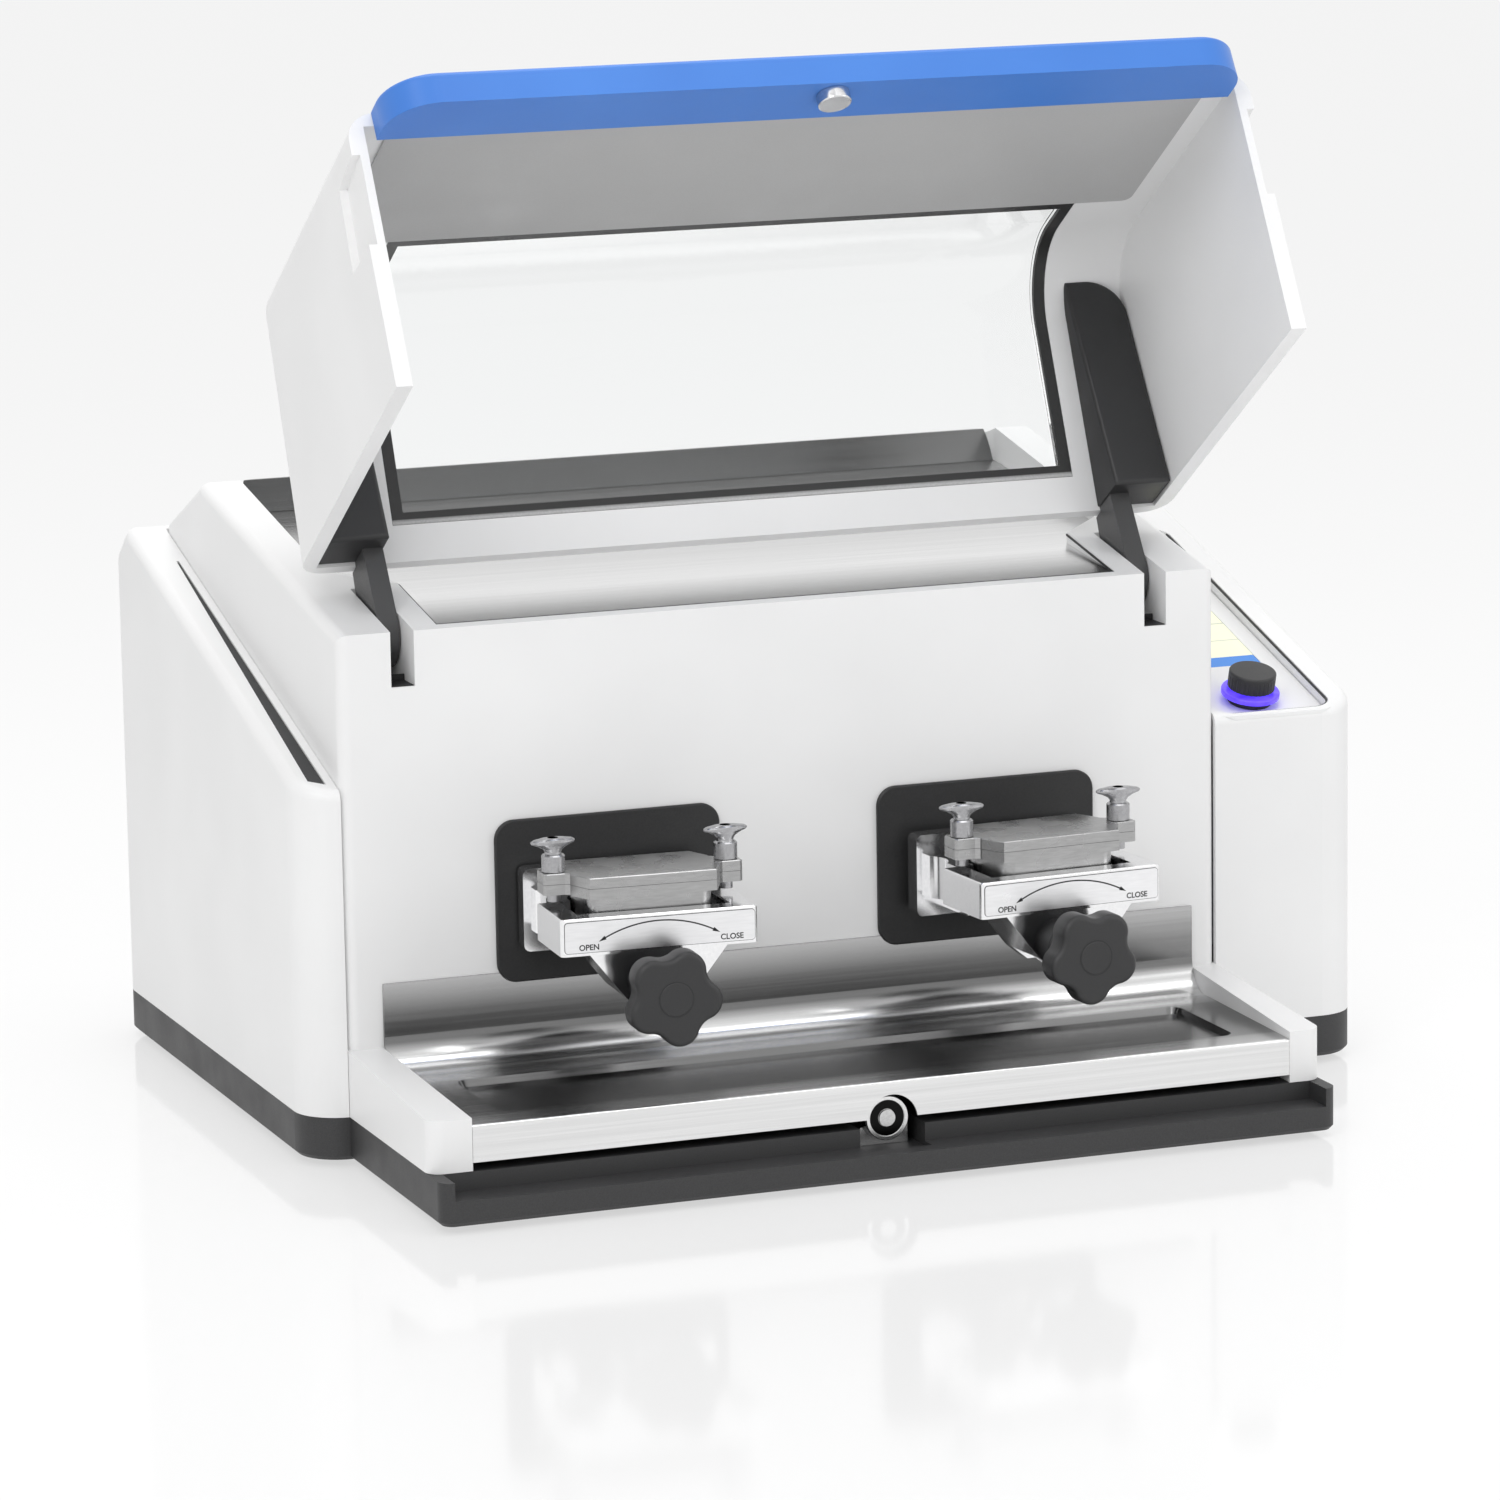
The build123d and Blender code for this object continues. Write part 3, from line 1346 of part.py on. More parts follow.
    with BuildPart() as star_knob:
        with BuildSketch(station_front(side, knob_front_v + knob_thickness)):
            with Locations((0, spindle_z)):
                Circle(lobe_ring)
                with PolarLocations(lobe_ring, 5, start_angle=90):
                    Circle(knob_lobe_radius)
        extrude(amount=knob_thickness)
        hollows = star_knob.edges().filter_by(
            lambda edge: abs(edge.tangent_at(0.5).Z) < 2 and edge.length > knob_thickness - 0.01
            and edge.geom_type == GeomType.LINE
        )
        fillet(hollows, 9.0)
        rim = star_knob.faces().filter_by(GeomType.PLANE).sort_by(Axis.Y)
        fillet(rim[0].outer_wire().edges(), 2.5)
        with BuildSketch(station_front(side, knob_front_v + knob_thickness)):
            with Locations((0, spindle_z)):
                Circle(knob_hub_radius)
        extrude(amount=-(3.0 - run_gap - knob_front_v - knob_thickness))
        with BuildSketch(station_front(side, knob_front_v)):
            with Locations((0, spindle_z)):
                Circle(knob_cap_radius + seat_gap)
        extrude(amount=-4.0, mode=Mode.SUBTRACT)
        with BuildSketch(station_front(side, knob_front_v + knob_thickness)):
            with Locations((0, spindle_z)):
                Circle(spindle_radius)
        extrude(amount=-(39 + lug_thickness - 1 - knob_front_v - knob_thickness))
    keep(star_knob, f"{label}_star_knob")

    with BuildPart() as knob_cap:
        with BuildSketch(station_front(side, knob_front_v - 0.4)):
            with Locations((0, spindle_z)):
                Circle(knob_cap_radius)
        extrude(amount=-4.0)
        fillet(knob_cap.edges().filter_by(GeomType.CIRCLE).sort_by(Axis.Y)[0], 0.6)
    keep(knob_cap, f"{label}_knob_cap")

    # jar, seal and lid
    cavity_depth = flange_bottom + flange_height - jar_bottom - jar_wall
    with BuildPart() as grinding_jar:
        with BuildSketch(station_plan(side, jar_bottom)):
            with Locations((0, jar_centre_v)):
                RectangleRounded(jar_width, jar_depth, 8)
        extrude(amount=flange_bottom - jar_bottom)
        chamfer(grinding_jar.edges().group_by(Axis.Z)[0], 1.5)
        with BuildSketch(station_plan(side, flange_bottom)):
            lid_plan()
        extrude(amount=flange_height)
        with BuildSketch(station_plan(side, flange_bottom + flange_height)):
            with Locations((0, jar_centre_v)):
                SlotOverall(jar_width - 2 * jar_wall, jar_depth - 2 * jar_wall)
        extrude(amount=-cavity_depth, mode=Mode.SUBTRACT)
        fillet(grinding_jar.edges().filter_by_position(
            Axis.Z, jar_bottom + jar_wall - 0.01, jar_bottom + jar_wall + 0.01), 6.0)
        # seal groove
        with BuildSketch(station_plan(side, flange_bottom + flange_height)):
            with Locations((0, jar_centre_v)):
                SlotOverall(jar_width - 2 * jar_wall + 9, jar_depth - 2 * jar_wall + 9)
                SlotOverall(
                    jar_width - 2 * jar_wall + 3, jar_depth - 2 * jar_wall + 3, mode=Mode.SUBTRACT
                )
        extrude(amount=-2.2, mode=Mode.SUBTRACT)
        with BuildSketch(station_plan(side, flange_bottom)):
            with Locations((0, jar_centre_v)):
                with GridLocations(screw_pitch, 1, 2, 1):
                    Circle(screw_radius + run_gap)
        extrude(amount=flange_height, mode=Mode.SUBTRACT)
    keep(grinding_jar, f"{label}_jar")

    with BuildPart() as jar_seal:
        with BuildSketch(station_plan(side, flange_bottom + flange_height - 2.1)):
            with Locations((0, jar_centre_v)):
                SlotOverall(jar_width - 2 * jar_wall + 8.6, jar_depth - 2 * jar_wall + 8.6)
                SlotOverall(
                    jar_width - 2 * jar_wall + 3.4, jar_depth - 2 * jar_wall + 3.4, mode=Mode.SUBTRACT
                )
        extrude(amount=2.1)
    keep(jar_seal, f"{label}_jar_seal")

    with BuildPart() as jar_lid:
        with BuildSketch(station_plan(side, lid_bottom)):
            lid_plan()
        extrude(amount=lid_height)
        chamfer(jar_lid.faces().sort_by(Axis.Z)[-1].outer_wire().edges(), 0.5)
        with BuildSketch(station_plan(side, lid_bottom)):
            with Locations((0, jar_centre_v)):
                with GridLocations(screw_pitch, 1, 2, 1):
                    Circle(screw_radius + run_gap)
        extrude(amount=lid_height + 1, mode=Mode.SUBTRACT)
    keep(jar_lid, f"{label}_jar_lid")

    for end, end_label in ((-1, "outer" if side < 0 else "inner"), (1, "inner" if side < 0 else "outer")):
        screw_u = end * screw_pitch / 2
        with BuildPart() as wing_screw:
            with BuildSketch(station_plan(side, lid_top + run_gap)):
                with Locations((screw_u, jar_centre_v)):
                    Circle(sleeve_radius)
            extrude(amount=sleeve_height)
            with BuildSketch(station_plan(side, flange_bottom - 5)):
                with Locations((screw_u, jar_centre_v)):
                    Circle(screw_radius)
            extrude(amount=lid_top - flange_bottom + 6)
            chamfer(wing_screw.edges().group_by(Axis.Z)[0], 0.8)
            with BuildSketch(station_plan(side, lid_top + run_gap + sleeve_height - 1.0)):
                with Locations((screw_u, jar_centre_v)):
                    with Locations(Rotation(0, 0, 0)):
                        SlotOverall(wing_span, 10)
                    Circle(sleeve_radius - 0.6)
            extrude(amount=wing_height)
            wing_plane = station_plan(side, lid_top + run_gap + sleeve_height - 1.0)
            # the undersides of the wings sweep up from the sleeve
            for wing in (-1, 1):
                with BuildSketch(
                    Plane(
                        origin=wing_plane.from_local_coords((screw_u, jar_centre_v - 10, 0)),
                        x_dir=wing_plane.x_dir,
                        z_dir=-wing_plane.y_dir,
                    )
                ):
                    outline(
                        [
                            (wing * 5.5, -0.1),
                            (wing * 20, -0.1),
                            (wing * 20, 5.4),
                            (wing * 14.2, 5.4),
                            (wing * 9, 3.4),
                        ]
                    )
                extrude(amount=-20, mode=Mode.SUBTRACT)
        keep(wing_screw, f"{label}_{end_label}_wing_screw")

with BuildPart() as hinge_pins:
    for side in (-1, 1):
        with BuildSketch(Plane.YZ.offset(body_mid_x + side * arm_offset - hinge_pin_length / 2)):
            with Locations((hinge_y, hinge_z)):
                Circle(hinge_pin_radius - pin_fit)
        extrude(amount=hinge_pin_length)
keep(hinge_pins, "hinge_pins")

# ================================================================ drive inside the housing
crank_y = rocker_y + lever_length * cos(swing)
frame_half = rocker_spacing / 2 + 52.0
frame_front_y = -64.0
frame_rear_y = 212.0
bridge_rear_y = 48.0
column_radius = 9.0
column_half = frame_half - 13.0
leg_radius = 13.0
shaft_radius = 10.0
pulley_top = deck_bottom - 6.0
pulley_flange = 3.0
belt_width = pulley_height - 2 * pulley_flange - 1.0
with BuildPart() as drive_frame:
    with BuildSketch(Plane.XY.offset(deck_bottom)):
        with Locations((chamber_mid_x, (frame_front_y + frame_rear_y) / 2)):
            RectangleRounded(2 * frame_half, frame_rear_y - frame_front_y, 12)
    extrude(amount=deck_thickness)
    with BuildSketch(Plane.XY.offset(bridge_bottom)):
        with Locations((chamber_mid_x, (frame_front_y + bridge_rear_y) / 2)):
            RectangleRounded(2 * frame_half, bridge_rear_y - frame_front_y, 12)
    extrude(amount=bridge_thickness)
    with BuildSketch(Plane.XY.offset(deck_bottom + 1)):
        with Locations((chamber_mid_x, (frame_front_y + bridge_rear_y) / 2)):
            with GridLocations(2 * column_half, bridge_rear_y - frame_front_y - 26, 2, 2):
                Circle(column_radius)
    extrude(amount=bridge_bottom - deck_bottom)
    with BuildSketch(Plane.XY.offset(housing_bottom)):
        with Locations((chamber_mid_x, (frame_front_y + frame_rear_y) / 2)):
            with GridLocations(2 * column_half, frame_rear_y - frame_front_y - 30, 2, 2):
                Circle(leg_radius)
    extrude(amount=deck_bottom - housing_bottom + 1)
    # fixed shafts that the swing arms rock on
    with BuildSketch(Plane.XY.offset(deck_bottom + 1)):
        with Locations((chamber_mid_x, rocker_y)):
            with GridLocations(rocker_spacing, 1, 2, 1):
                Circle(rocker_shaft_radius)
    extrude(amount=bridge_bottom - deck_bottom)
    # collars that carry the hubs
    with BuildSketch(Plane.XY.offset(deck_bottom + deck_thickness - 1)):
        with Locations((chamber_mid_x, rocker_y)):
            with GridLocations(rocker_spacing, 1, 2, 1):
                Circle(rocker_shaft_radius + 4)
    extrude(amount=hub_bottom - run_gap - deck_bottom - deck_thickness + 1)
    # bearing seats of the crankshaft, and room for the motor's shaft
    with BuildSketch(Plane.XY.offset(deck_bottom)):
        with Locations((chamber_mid_x, crank_y)):
            Circle(bearing_radius + seat_gap / 4)
        with Locations((chamber_mid_x, motor_y)):
            Circle(motor_shaft_radius + 4)
    extrude(amount=deck_thickness, mode=Mode.SUBTRACT)
    with BuildSketch(Plane.XY.offset(bridge_bottom)):
        with Locations((chamber_mid_x, crank_y)):
            Circle(bearing_radius + seat_gap / 4)
    extrude(amount=bridge_thickness, mode=Mode.SUBTRACT)
keep(drive_frame, "drive_frame")

with BuildPart() as crank_bearings:
    for level in (deck_bottom + 1, bridge_bottom + 1):
        with BuildSketch(Plane.XY.offset(level)):
            with Locations((chamber_mid_x, crank_y)):
                Circle(bearing_radius)
                Circle(shaft_radius + shaft_fit, mode=Mode.SUBTRACT)
        extrude(amount=bearing_height)
keep(crank_bearings, "crank_bearings")

cam_shift = lever_length * sin(swing)
with BuildPart() as crankshaft:
    with BuildSketch(Plane.XY.offset(pulley_top - pulley_height - 4)):
        with Locations((chamber_mid_x, crank_y)):
            Circle(shaft_radius)
    extrude(amount=bridge_bottom + bridge_thickness - 1 - pulley_top + pulley_height + 4)
    # collar under the lower bearing
    with BuildSketch(Plane.XY.offset(deck_bottom + 1 + bearing_height + run_gap)):
        with Locations((chamber_mid_x, crank_y)):
            Circle(shaft_radius + 3)
    extrude(amount=8)
    # two cams, half a turn apart
    for side, level in ((-1, left_rod_z), (1, right_rod_z)):
        with BuildSketch(Plane.XY.offset(level)):
            with Locations((chamber_mid_x - side * cam_shift, crank_y)):
                Circle(crank_radius)
        extrude(amount=rod_height)
    # balance weight
    with BuildSketch(Plane.XY.offset(left_rod_z - 30)):
        with Locations((chamber_mid_x, crank_y)):
            Circle(30)
            Rectangle(60, 30, align=(Align.CENTER, Align.MIN), mode=Mode.SUBTRACT)
    extrude(amount=16)
    # toothed pulley
    with BuildSketch(Plane.XY.offset(pulley_top - pulley_height)):
        with Locations((chamber_mid_x, crank_y)):
            Circle(big_pulley_radius + belt_thickness)
    extrude(amount=pulley_height)
    with BuildSketch(Plane.XY.offset(pulley_top - pulley_height + pulley_flange)):
        with Locations((chamber_mid_x, crank_y)):
            Circle(big_pulley_radius + 2 * belt_thickness)
            Circle(big_pulley_radius, mode=Mode.SUBTRACT)
    extrude(amount=pulley_height - 2 * pulley_flange, mode=Mode.SUBTRACT)
keep(crankshaft, "crankshaft")

with BuildPart() as motor_pulley:
    with BuildSketch(Plane.XY.offset(pulley_top - pulley_height)):
        with Locations((chamber_mid_x, motor_y)):
            Circle(small_pulley_radius + belt_thickness)
    extrude(amount=pulley_height)
    with BuildSketch(Plane.XY.offset(pulley_top - pulley_height + pulley_flange)):
        with Locations((chamber_mid_x, motor_y)):
            Circle(small_pulley_radius + 2 * belt_thickness)
            Circle(small_pulley_radius, mode=Mode.SUBTRACT)
    extrude(amount=pulley_height - 2 * pulley_flange, mode=Mode.SUBTRACT)
    with BuildSketch(Plane.XY.offset(pulley_top)):
        with Locations((chamber_mid_x, motor_y)):
            Circle(motor_shaft_radius)
    extrude(amount=deck_bottom + deck_thickness + 40 - pulley_top)
keep(motor_pulley, "motor_pulley")

motor_bottom = deck_bottom + deck_thickness + seat_gap
with BuildPart() as drive_motor:
    with BuildSketch(Plane.XY.offset(motor_bottom)):
        with Locations((chamber_mid_x, motor_y)):
            RectangleRounded(2 * motor_radius + 6, 2 * motor_radius + 6, 10)
    extrude(amount=9)
    with BuildSketch(Plane.XY.offset(motor_bottom)):
        with Locations((chamber_mid_x, motor_y)):
            Circle(motor_radius)
    extrude(amount=motor_height)
    fillet(drive_motor.edges().group_by(Axis.Z)[-1], 6)
    # cooling fins
    with BuildSketch(Plane.XY.offset(motor_bottom + 16)):
        with Locations((chamber_mid_x, motor_y)):
            with PolarLocations(motor_radius, 24):
                Rectangle(6, 3)
    extrude(amount=motor_height - 34, mode=Mode.SUBTRACT)
    with BuildSketch(Plane.XY.offset(motor_bottom)):
        with Locations((chamber_mid_x, motor_y)):
            Circle(motor_shaft_radius + shaft_fit)
    extrude(amount=42, mode=Mode.SUBTRACT)
keep(drive_motor, "drive_motor")

with BuildPart() as drive_belt:
    belt_low = pulley_top - pulley_height + pulley_flange + 0.5
    with BuildSketch(Plane.XY.offset(belt_low)) as belt_outer:
        with Locations((chamber_mid_x, crank_y)):
            Circle(big_pulley_radius + run_gap + belt_thickness)
        with Locations((chamber_mid_x, motor_y)):
            Circle(small_pulley_radius + run_gap + belt_thickness)
        make_hull()
    extrude(amount=belt_width)
    with BuildSketch(Plane.XY.offset(belt_low)) as belt_inner:
        with Locations((chamber_mid_x, crank_y)):
            Circle(big_pulley_radius + run_gap)
        with Locations((chamber_mid_x, motor_y)):
            Circle(small_pulley_radius + run_gap)
        make_hull()
    extrude(amount=belt_width, mode=Mode.SUBTRACT)
keep(drive_belt, "drive_belt")

# push rods: an eye on the lever's pin, a wide ring round the cam
for side, label, level in ((-1, "left", left_rod_z), (1, "right", right_rod_z)):
    pin_x = rocker_x(side) - side * lever_length * sin(swing)
    ring_x = chamber_mid_x - side * cam_shift
    with BuildPart() as push_rod:
        with BuildSketch(Plane.XY.offset(level)):
            with Locations(((pin_x + ring_x) / 2, crank_y)):
                Rectangle(abs(pin_x - ring_x), 14)
            with Locations((pin_x, crank_y)):
                Circle(lever_pin_radius + 5)
            with Locations((ring_x, crank_y)):
                Circle(ring_outer)
            with Locations((pin_x, crank_y)):
                Circle(lever_pin_radius + shaft_fit, mode=Mode.SUBTRACT)
            with Locations((ring_x, crank_y)):
                Circle(ring_inner, mode=Mode.SUBTRACT)
        extrude(amount=rod_height)
    keep(push_rod, f"{label}_push_rod")
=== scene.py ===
"""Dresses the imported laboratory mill: camera, lights, finishes and the pieces that the solids leave out."""
from math import asin, cos, pi, radians, sin, sqrt, tan

import bmesh
import bpy
from mathutils import Matrix, Vector


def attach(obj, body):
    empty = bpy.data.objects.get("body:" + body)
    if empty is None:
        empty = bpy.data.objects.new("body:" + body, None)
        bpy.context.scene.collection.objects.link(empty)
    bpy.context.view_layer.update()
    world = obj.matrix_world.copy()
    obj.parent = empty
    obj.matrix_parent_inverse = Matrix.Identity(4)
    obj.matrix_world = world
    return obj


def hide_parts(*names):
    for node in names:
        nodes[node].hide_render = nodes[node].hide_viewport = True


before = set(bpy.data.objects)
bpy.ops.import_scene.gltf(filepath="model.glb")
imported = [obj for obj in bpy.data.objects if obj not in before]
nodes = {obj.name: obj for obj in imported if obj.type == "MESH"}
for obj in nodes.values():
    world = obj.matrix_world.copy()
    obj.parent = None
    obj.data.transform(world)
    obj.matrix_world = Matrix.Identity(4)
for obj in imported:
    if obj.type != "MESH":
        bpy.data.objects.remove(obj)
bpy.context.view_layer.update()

scene = bpy.context.scene
scene.view_settings.view_transform = "Standard"

# ------------------------------------------------------------------ places shared by several pieces, metres
BODY_MID = -0.0375
CHAMBER_MID = -0.0325
PANEL_Y = -0.118
TOP_PITCH = radians(10.6)
CHEEK_FRONT_Z = 0.226
CHEEK_PITCH = radians(16.3)
HINGE = Vector((0.0, -0.0744, 0.3108))
HOOD_TURN = radians(-123.7)
SWING = radians(3.67)
ROCKER_Y = -0.030
ROCKER_REACH = 0.2024
ROCKER_SPACING = 0.2344
MAGNET_AXIS = (-0.034, 0, 0.033)
MM = 0.001  # the added pieces are drawn in millimetres
SIDES = ((-1, "left"), (1, "right"))


def hood_frame():
    """Turns a place on the closed hood into its place on the open one."""
    back = Matrix.Translation(-HINGE)
    return Matrix.Translation(HINGE) @ Matrix.Rotation(HOOD_TURN, 4, "X") @ back


def station_frame(side):
    """Axes of a jar station: x across, y to the rear from the clamp's face, z up."""
    turn = SWING * side
    x = CHAMBER_MID + side * ROCKER_SPACING / 2 + ROCKER_REACH * sin(SWING) * side
    y = ROCKER_Y - ROCKER_REACH * cos(SWING)
    return Matrix.Translation((x, y, 0)) @ Matrix.Rotation(turn, 4, "Z")


def cheek_frame(lift=0.0):
    """Axes on the right cheek's slope: x across, y up the slope from the front edge, z out."""
    start = Matrix.Translation((0, PANEL_Y, CHEEK_FRONT_Z))
    return start @ Matrix.Rotation(CHEEK_PITCH, 4, "X") @ Matrix.Translation((0, 0, lift))


# ------------------------------------------------------------------ camera, lights, floor
CAMERA_PLACE = (-1.4205, -3.7372, 0.963)
CAMERA_YAW = radians(20.57)
CAMERA_PITCH = radians(-10.73)
CAMERA_ROLL = radians(-0.94)
SENSOR_WIDTH = 36.0
FOCAL_LENGTH = 157.3896
CLIP_END = 50.0
WORLD_LIGHT = 0.62
FLOOR_HALF = 9.0
FLOOR_PLACE = (0, 4.0, -0.0005)
FLOOR_COLOR = (0.93, 0.93, 0.93, 1)
FLOOR_WHITENING = 0.72  # share of plain white where the floor is seen
FLOOR_MIRROR = 0.15
FLOOR_ROUGHNESS = 0.09
WHITE = (1, 1, 1, 1)


def aim_camera():
    """Camera fitted to the photograph."""
    data = bpy.data.cameras.new("camera")
    camera = bpy.data.objects.new("camera", data)
    scene.collection.objects.link(camera)
    level_reach = cos(CAMERA_PITCH)
    ahead = Vector((sin(CAMERA_YAW) * level_reach, cos(CAMERA_YAW) * level_reach, sin(CAMERA_PITCH)))
    level = Vector((cos(CAMERA_YAW), -sin(CAMERA_YAW), 0))
    over = level.cross(ahead)
    right = level * cos(CAMERA_ROLL) + over * sin(CAMERA_ROLL)
    up = over * cos(CAMERA_ROLL) - level * sin(CAMERA_ROLL)
    turn = Matrix((right, up, -ahead)).transposed().to_4x4()
    camera.matrix_world = Matrix.Translation(CAMERA_PLACE) @ turn
    data.sensor_width = SENSOR_WIDTH
    data.lens = FOCAL_LENGTH
    data.clip_end = CLIP_END
    scene.camera = camera


def soft_light(name, place, target, size, power):
    """Rectangular lamp aimed at a point."""
    data = bpy.data.lights.new(name, "AREA")
    data.shape = "RECTANGLE"
    data.size = size[0]
    data.size_y = size[1]
    data.energy = power
    lamp = bpy.data.objects.new(name, data)
    scene.collection.objects.link(lamp)
    lamp.location = place
    aim = Vector(target) - Vector(place)
    lamp.rotation_euler = aim.to_track_quat("-Z", "Y").to_euler()


def seen_directly(tree):
    """1 for rays from the eye, a mirror or glass, 0 for the rest."""
    path = tree.nodes.new("ShaderNodeLightPath")
    either = tree.nodes.new("ShaderNodeMath")
    either.operation = "MAXIMUM"
    tree.links.new(path.outputs["Is Camera Ray"], either.inputs[0])
    tree.links.new(path.outputs["Is Glossy Ray"], either.inputs[1])
    either_glass = tree.nodes.new("ShaderNodeMath")
    either_glass.operation = "MAXIMUM"
    tree.links.new(either.outputs[0], either_glass.inputs[0])
    tree.links.new(path.outputs["Is Transmission Ray"], either_glass.inputs[1])
    return either_glass.outputs[0]


def white_surroundings():
    """White world, dimmer where it lights the object than where it is seen."""
    world = bpy.data.worlds.new("surroundings")
    scene.world = world
    world.use_nodes = True
    tree = world.node_tree
    background = tree.nodes["Background"]
    background.inputs["Color"].default_value = WHITE
    strength = tree.nodes.new("ShaderNodeMapRange")
    strength.inputs["To Min"].default_value = WORLD_LIGHT
    strength.inputs["To Max"].default_value = 1.0
    tree.links.new(seen_directly(tree), strength.inputs["Value"])
    tree.links.new(strength.outputs[0], background.inputs["Strength"])


def pale_floor():
    """White floor that keeps a soft shadow and a faint reflection."""
    shape = bmesh.new()
    bmesh.ops.create_grid(shape, x_segments=1, y_segments=1, size=FLOOR_HALF)
    mesh = bpy.data.meshes.new("floor")
    shape.to_mesh(mesh)
    shape.free()
    floor = bpy.data.objects.new("floor", mesh)
    scene.collection.objects.link(floor)
    floor.location = FLOOR_PLACE
    material = bpy.data.materials.new("floor_gloss")
    material.use_nodes = True
    tree = material.node_tree
    tree.nodes.clear()
    out = tree.nodes.new("ShaderNodeOutputMaterial")
    dull = tree.nodes.new("ShaderNodeBsdfDiffuse")
    dull.inputs["Color"].default_value = FLOOR_COLOR
    glow = tree.nodes.new("ShaderNodeEmission")
    glow.inputs["Color"].default_value = WHITE
    glow.inputs["Strength"].default_value = 1.0
    whitened = tree.nodes.new("ShaderNodeMixShader")
    share = tree.nodes.new("ShaderNodeMath")
    share.operation = "MULTIPLY"
    share.inputs[1].default_value = FLOOR_WHITENING
    tree.links.new(seen_directly(tree), share.inputs[0])
    tree.links.new(share.outputs[0], whitened.inputs[0])
    tree.links.new(dull.outputs[0], whitened.inputs[1])
    tree.links.new(glow.outputs[0], whitened.inputs[2])
    mirror = tree.nodes.new("ShaderNodeBsdfGlossy")
    mirror.inputs["Color"].default_value = WHITE
    mirror.inputs["Roughness"].default_value = FLOOR_ROUGHNESS
    surface = tree.nodes.new("ShaderNodeMixShader")
    surface.inputs[0].default_value = FLOOR_MIRROR
    tree.links.new(whitened.outputs[0], surface.inputs[1])
    tree.links.new(mirror.outputs[0], surface.inputs[2])
    tree.links.new(surface.outputs[0], out.inputs["Surface"])
    mesh.materials.append(material)


aim_camera()
white_surroundings()
pale_floor()
soft_light("key", (-1.6, -1.9, 2.1), (-0.05, -0.1, 0.2), (1.6, 1.2), 26)
soft_light("overhead", (0.2, 0.1, 2.4), (0.0, 0.0, 0.2), (2.2, 1.6), 22)
soft_light("fill", (1.9, -1.8, 1.2), (0.0, -0.1, 0.2), (1.2, 1.4), 9)


# ------------------------------------------------------------------ finishes
def shader(name, color, roughness, metallic=0.0):
    """New material with the plain values on its Principled shader; returns it with its tree and shader."""
    material = bpy.data.materials.new(name)
    material.use_nodes = True
    tree = material.node_tree
    surface = tree.nodes["Principled BSDF"]
    surface.inputs["Base Color"].default_value = (*color, 1)
    surface.inputs["Roughness"].default_value = roughness
    surface.inputs["Metallic"].default_value = metallic
    return material, tree, surface


def noise(tree, scale, stretch=(1, 1, 1), detail=3.0):
    """Noise on Object coordinates, stretched along an axis."""
    place = tree.nodes.new("ShaderNodeTexCoord")
    mapping = tree.nodes.new("ShaderNodeMapping")
    mapping.inputs["Scale"].default_value = stretch
    texture = tree.nodes.new("ShaderNodeTexNoise")
    texture.inputs["Scale"].default_value = scale
    texture.inputs["Detail"].default_value = detail
    tree.links.new(place.outputs["Object"], mapping.inputs["Vector"])
    tree.links.new(mapping.outputs["Vector"], texture.inputs["Vector"])
    return texture.outputs[0]


def between(tree, value, low, high, start=0.3, end=0.7):
    """Maps a pattern's middle range onto two numbers."""
    span = tree.nodes.new("ShaderNodeMapRange")
    span.inputs["From Min"].default_value = start
    span.inputs["From Max"].default_value = end
    span.inputs["To Min"].default_value = low
    span.inputs["To Max"].default_value = high
    tree.links.new(value, span.inputs["Value"])
    return span.outputs[0]


def tint(tree, value, dark, light, start=0.3, end=0.7):
    """Mixes two colours by a pattern."""
    ramp = tree.nodes.new("ShaderNodeValToRGB")
    ramp.color_ramp.elements[0].position = start
    ramp.color_ramp.elements[1].position = end
    ramp.color_ramp.elements[0].color = (*dark, 1)
    ramp.color_ramp.elements[1].color = (*light, 1)
    tree.links.new(value, ramp.inputs["Fac"])
    return ramp.outputs["Color"]


def relief(tree, surface, value, strength, distance=0.0002):
    """Raises a pattern slightly on the surface."""
    bump = tree.nodes.new("ShaderNodeBump")
    bump.inputs["Strength"].default_value = strength
    bump.inputs["Distance"].default_value = distance
    tree.links.new(value, bump.inputs["Height"])
    tree.links.new(bump.outputs["Normal"], surface.inputs["Normal"])


def powder_coat(name, dark, light, roughness, grain=900.0, strength=0.12):
    """Satin coating with a fine orange peel and faint cloudiness."""
    material, tree, surface = shader(name, light, roughness)
    cloud = noise(tree, 9.0, detail=2.0)
    tree.links.new(tint(tree, cloud, dark, light), surface.inputs["Base Color"])
    peel = noise(tree, grain, detail=2.0)
    tree.links.new(between(tree, peel, roughness - 0.04, roughness + 0.04), surface.inputs["Roughness"])
    relief(tree, surface, peel, strength)
    return material


def moulded(name, color, roughness, grain=2200.0, strength=0.25, spread=0.25):
    """Moulded plastic or rubber with a fine spark-eroded grain."""
    light = tuple(c * (1 + spread) for c in color)
    dark = tuple(c * (1 - spread) for c in color)
    material, tree, surface = shader(name, color, roughness)
    speck = noise(tree, grain, detail=3.0)
    tree.links.new(tint(tree, speck, dark, light), surface.inputs["Base Color"])
    smear = noise(tree, 30.0, detail=3.0)
    tree.links.new(between(tree, smear, roughness - 0.05, roughness + 0.06), surface.inputs["Roughness"])
    relief(tree, surface, speck, strength)
    return material


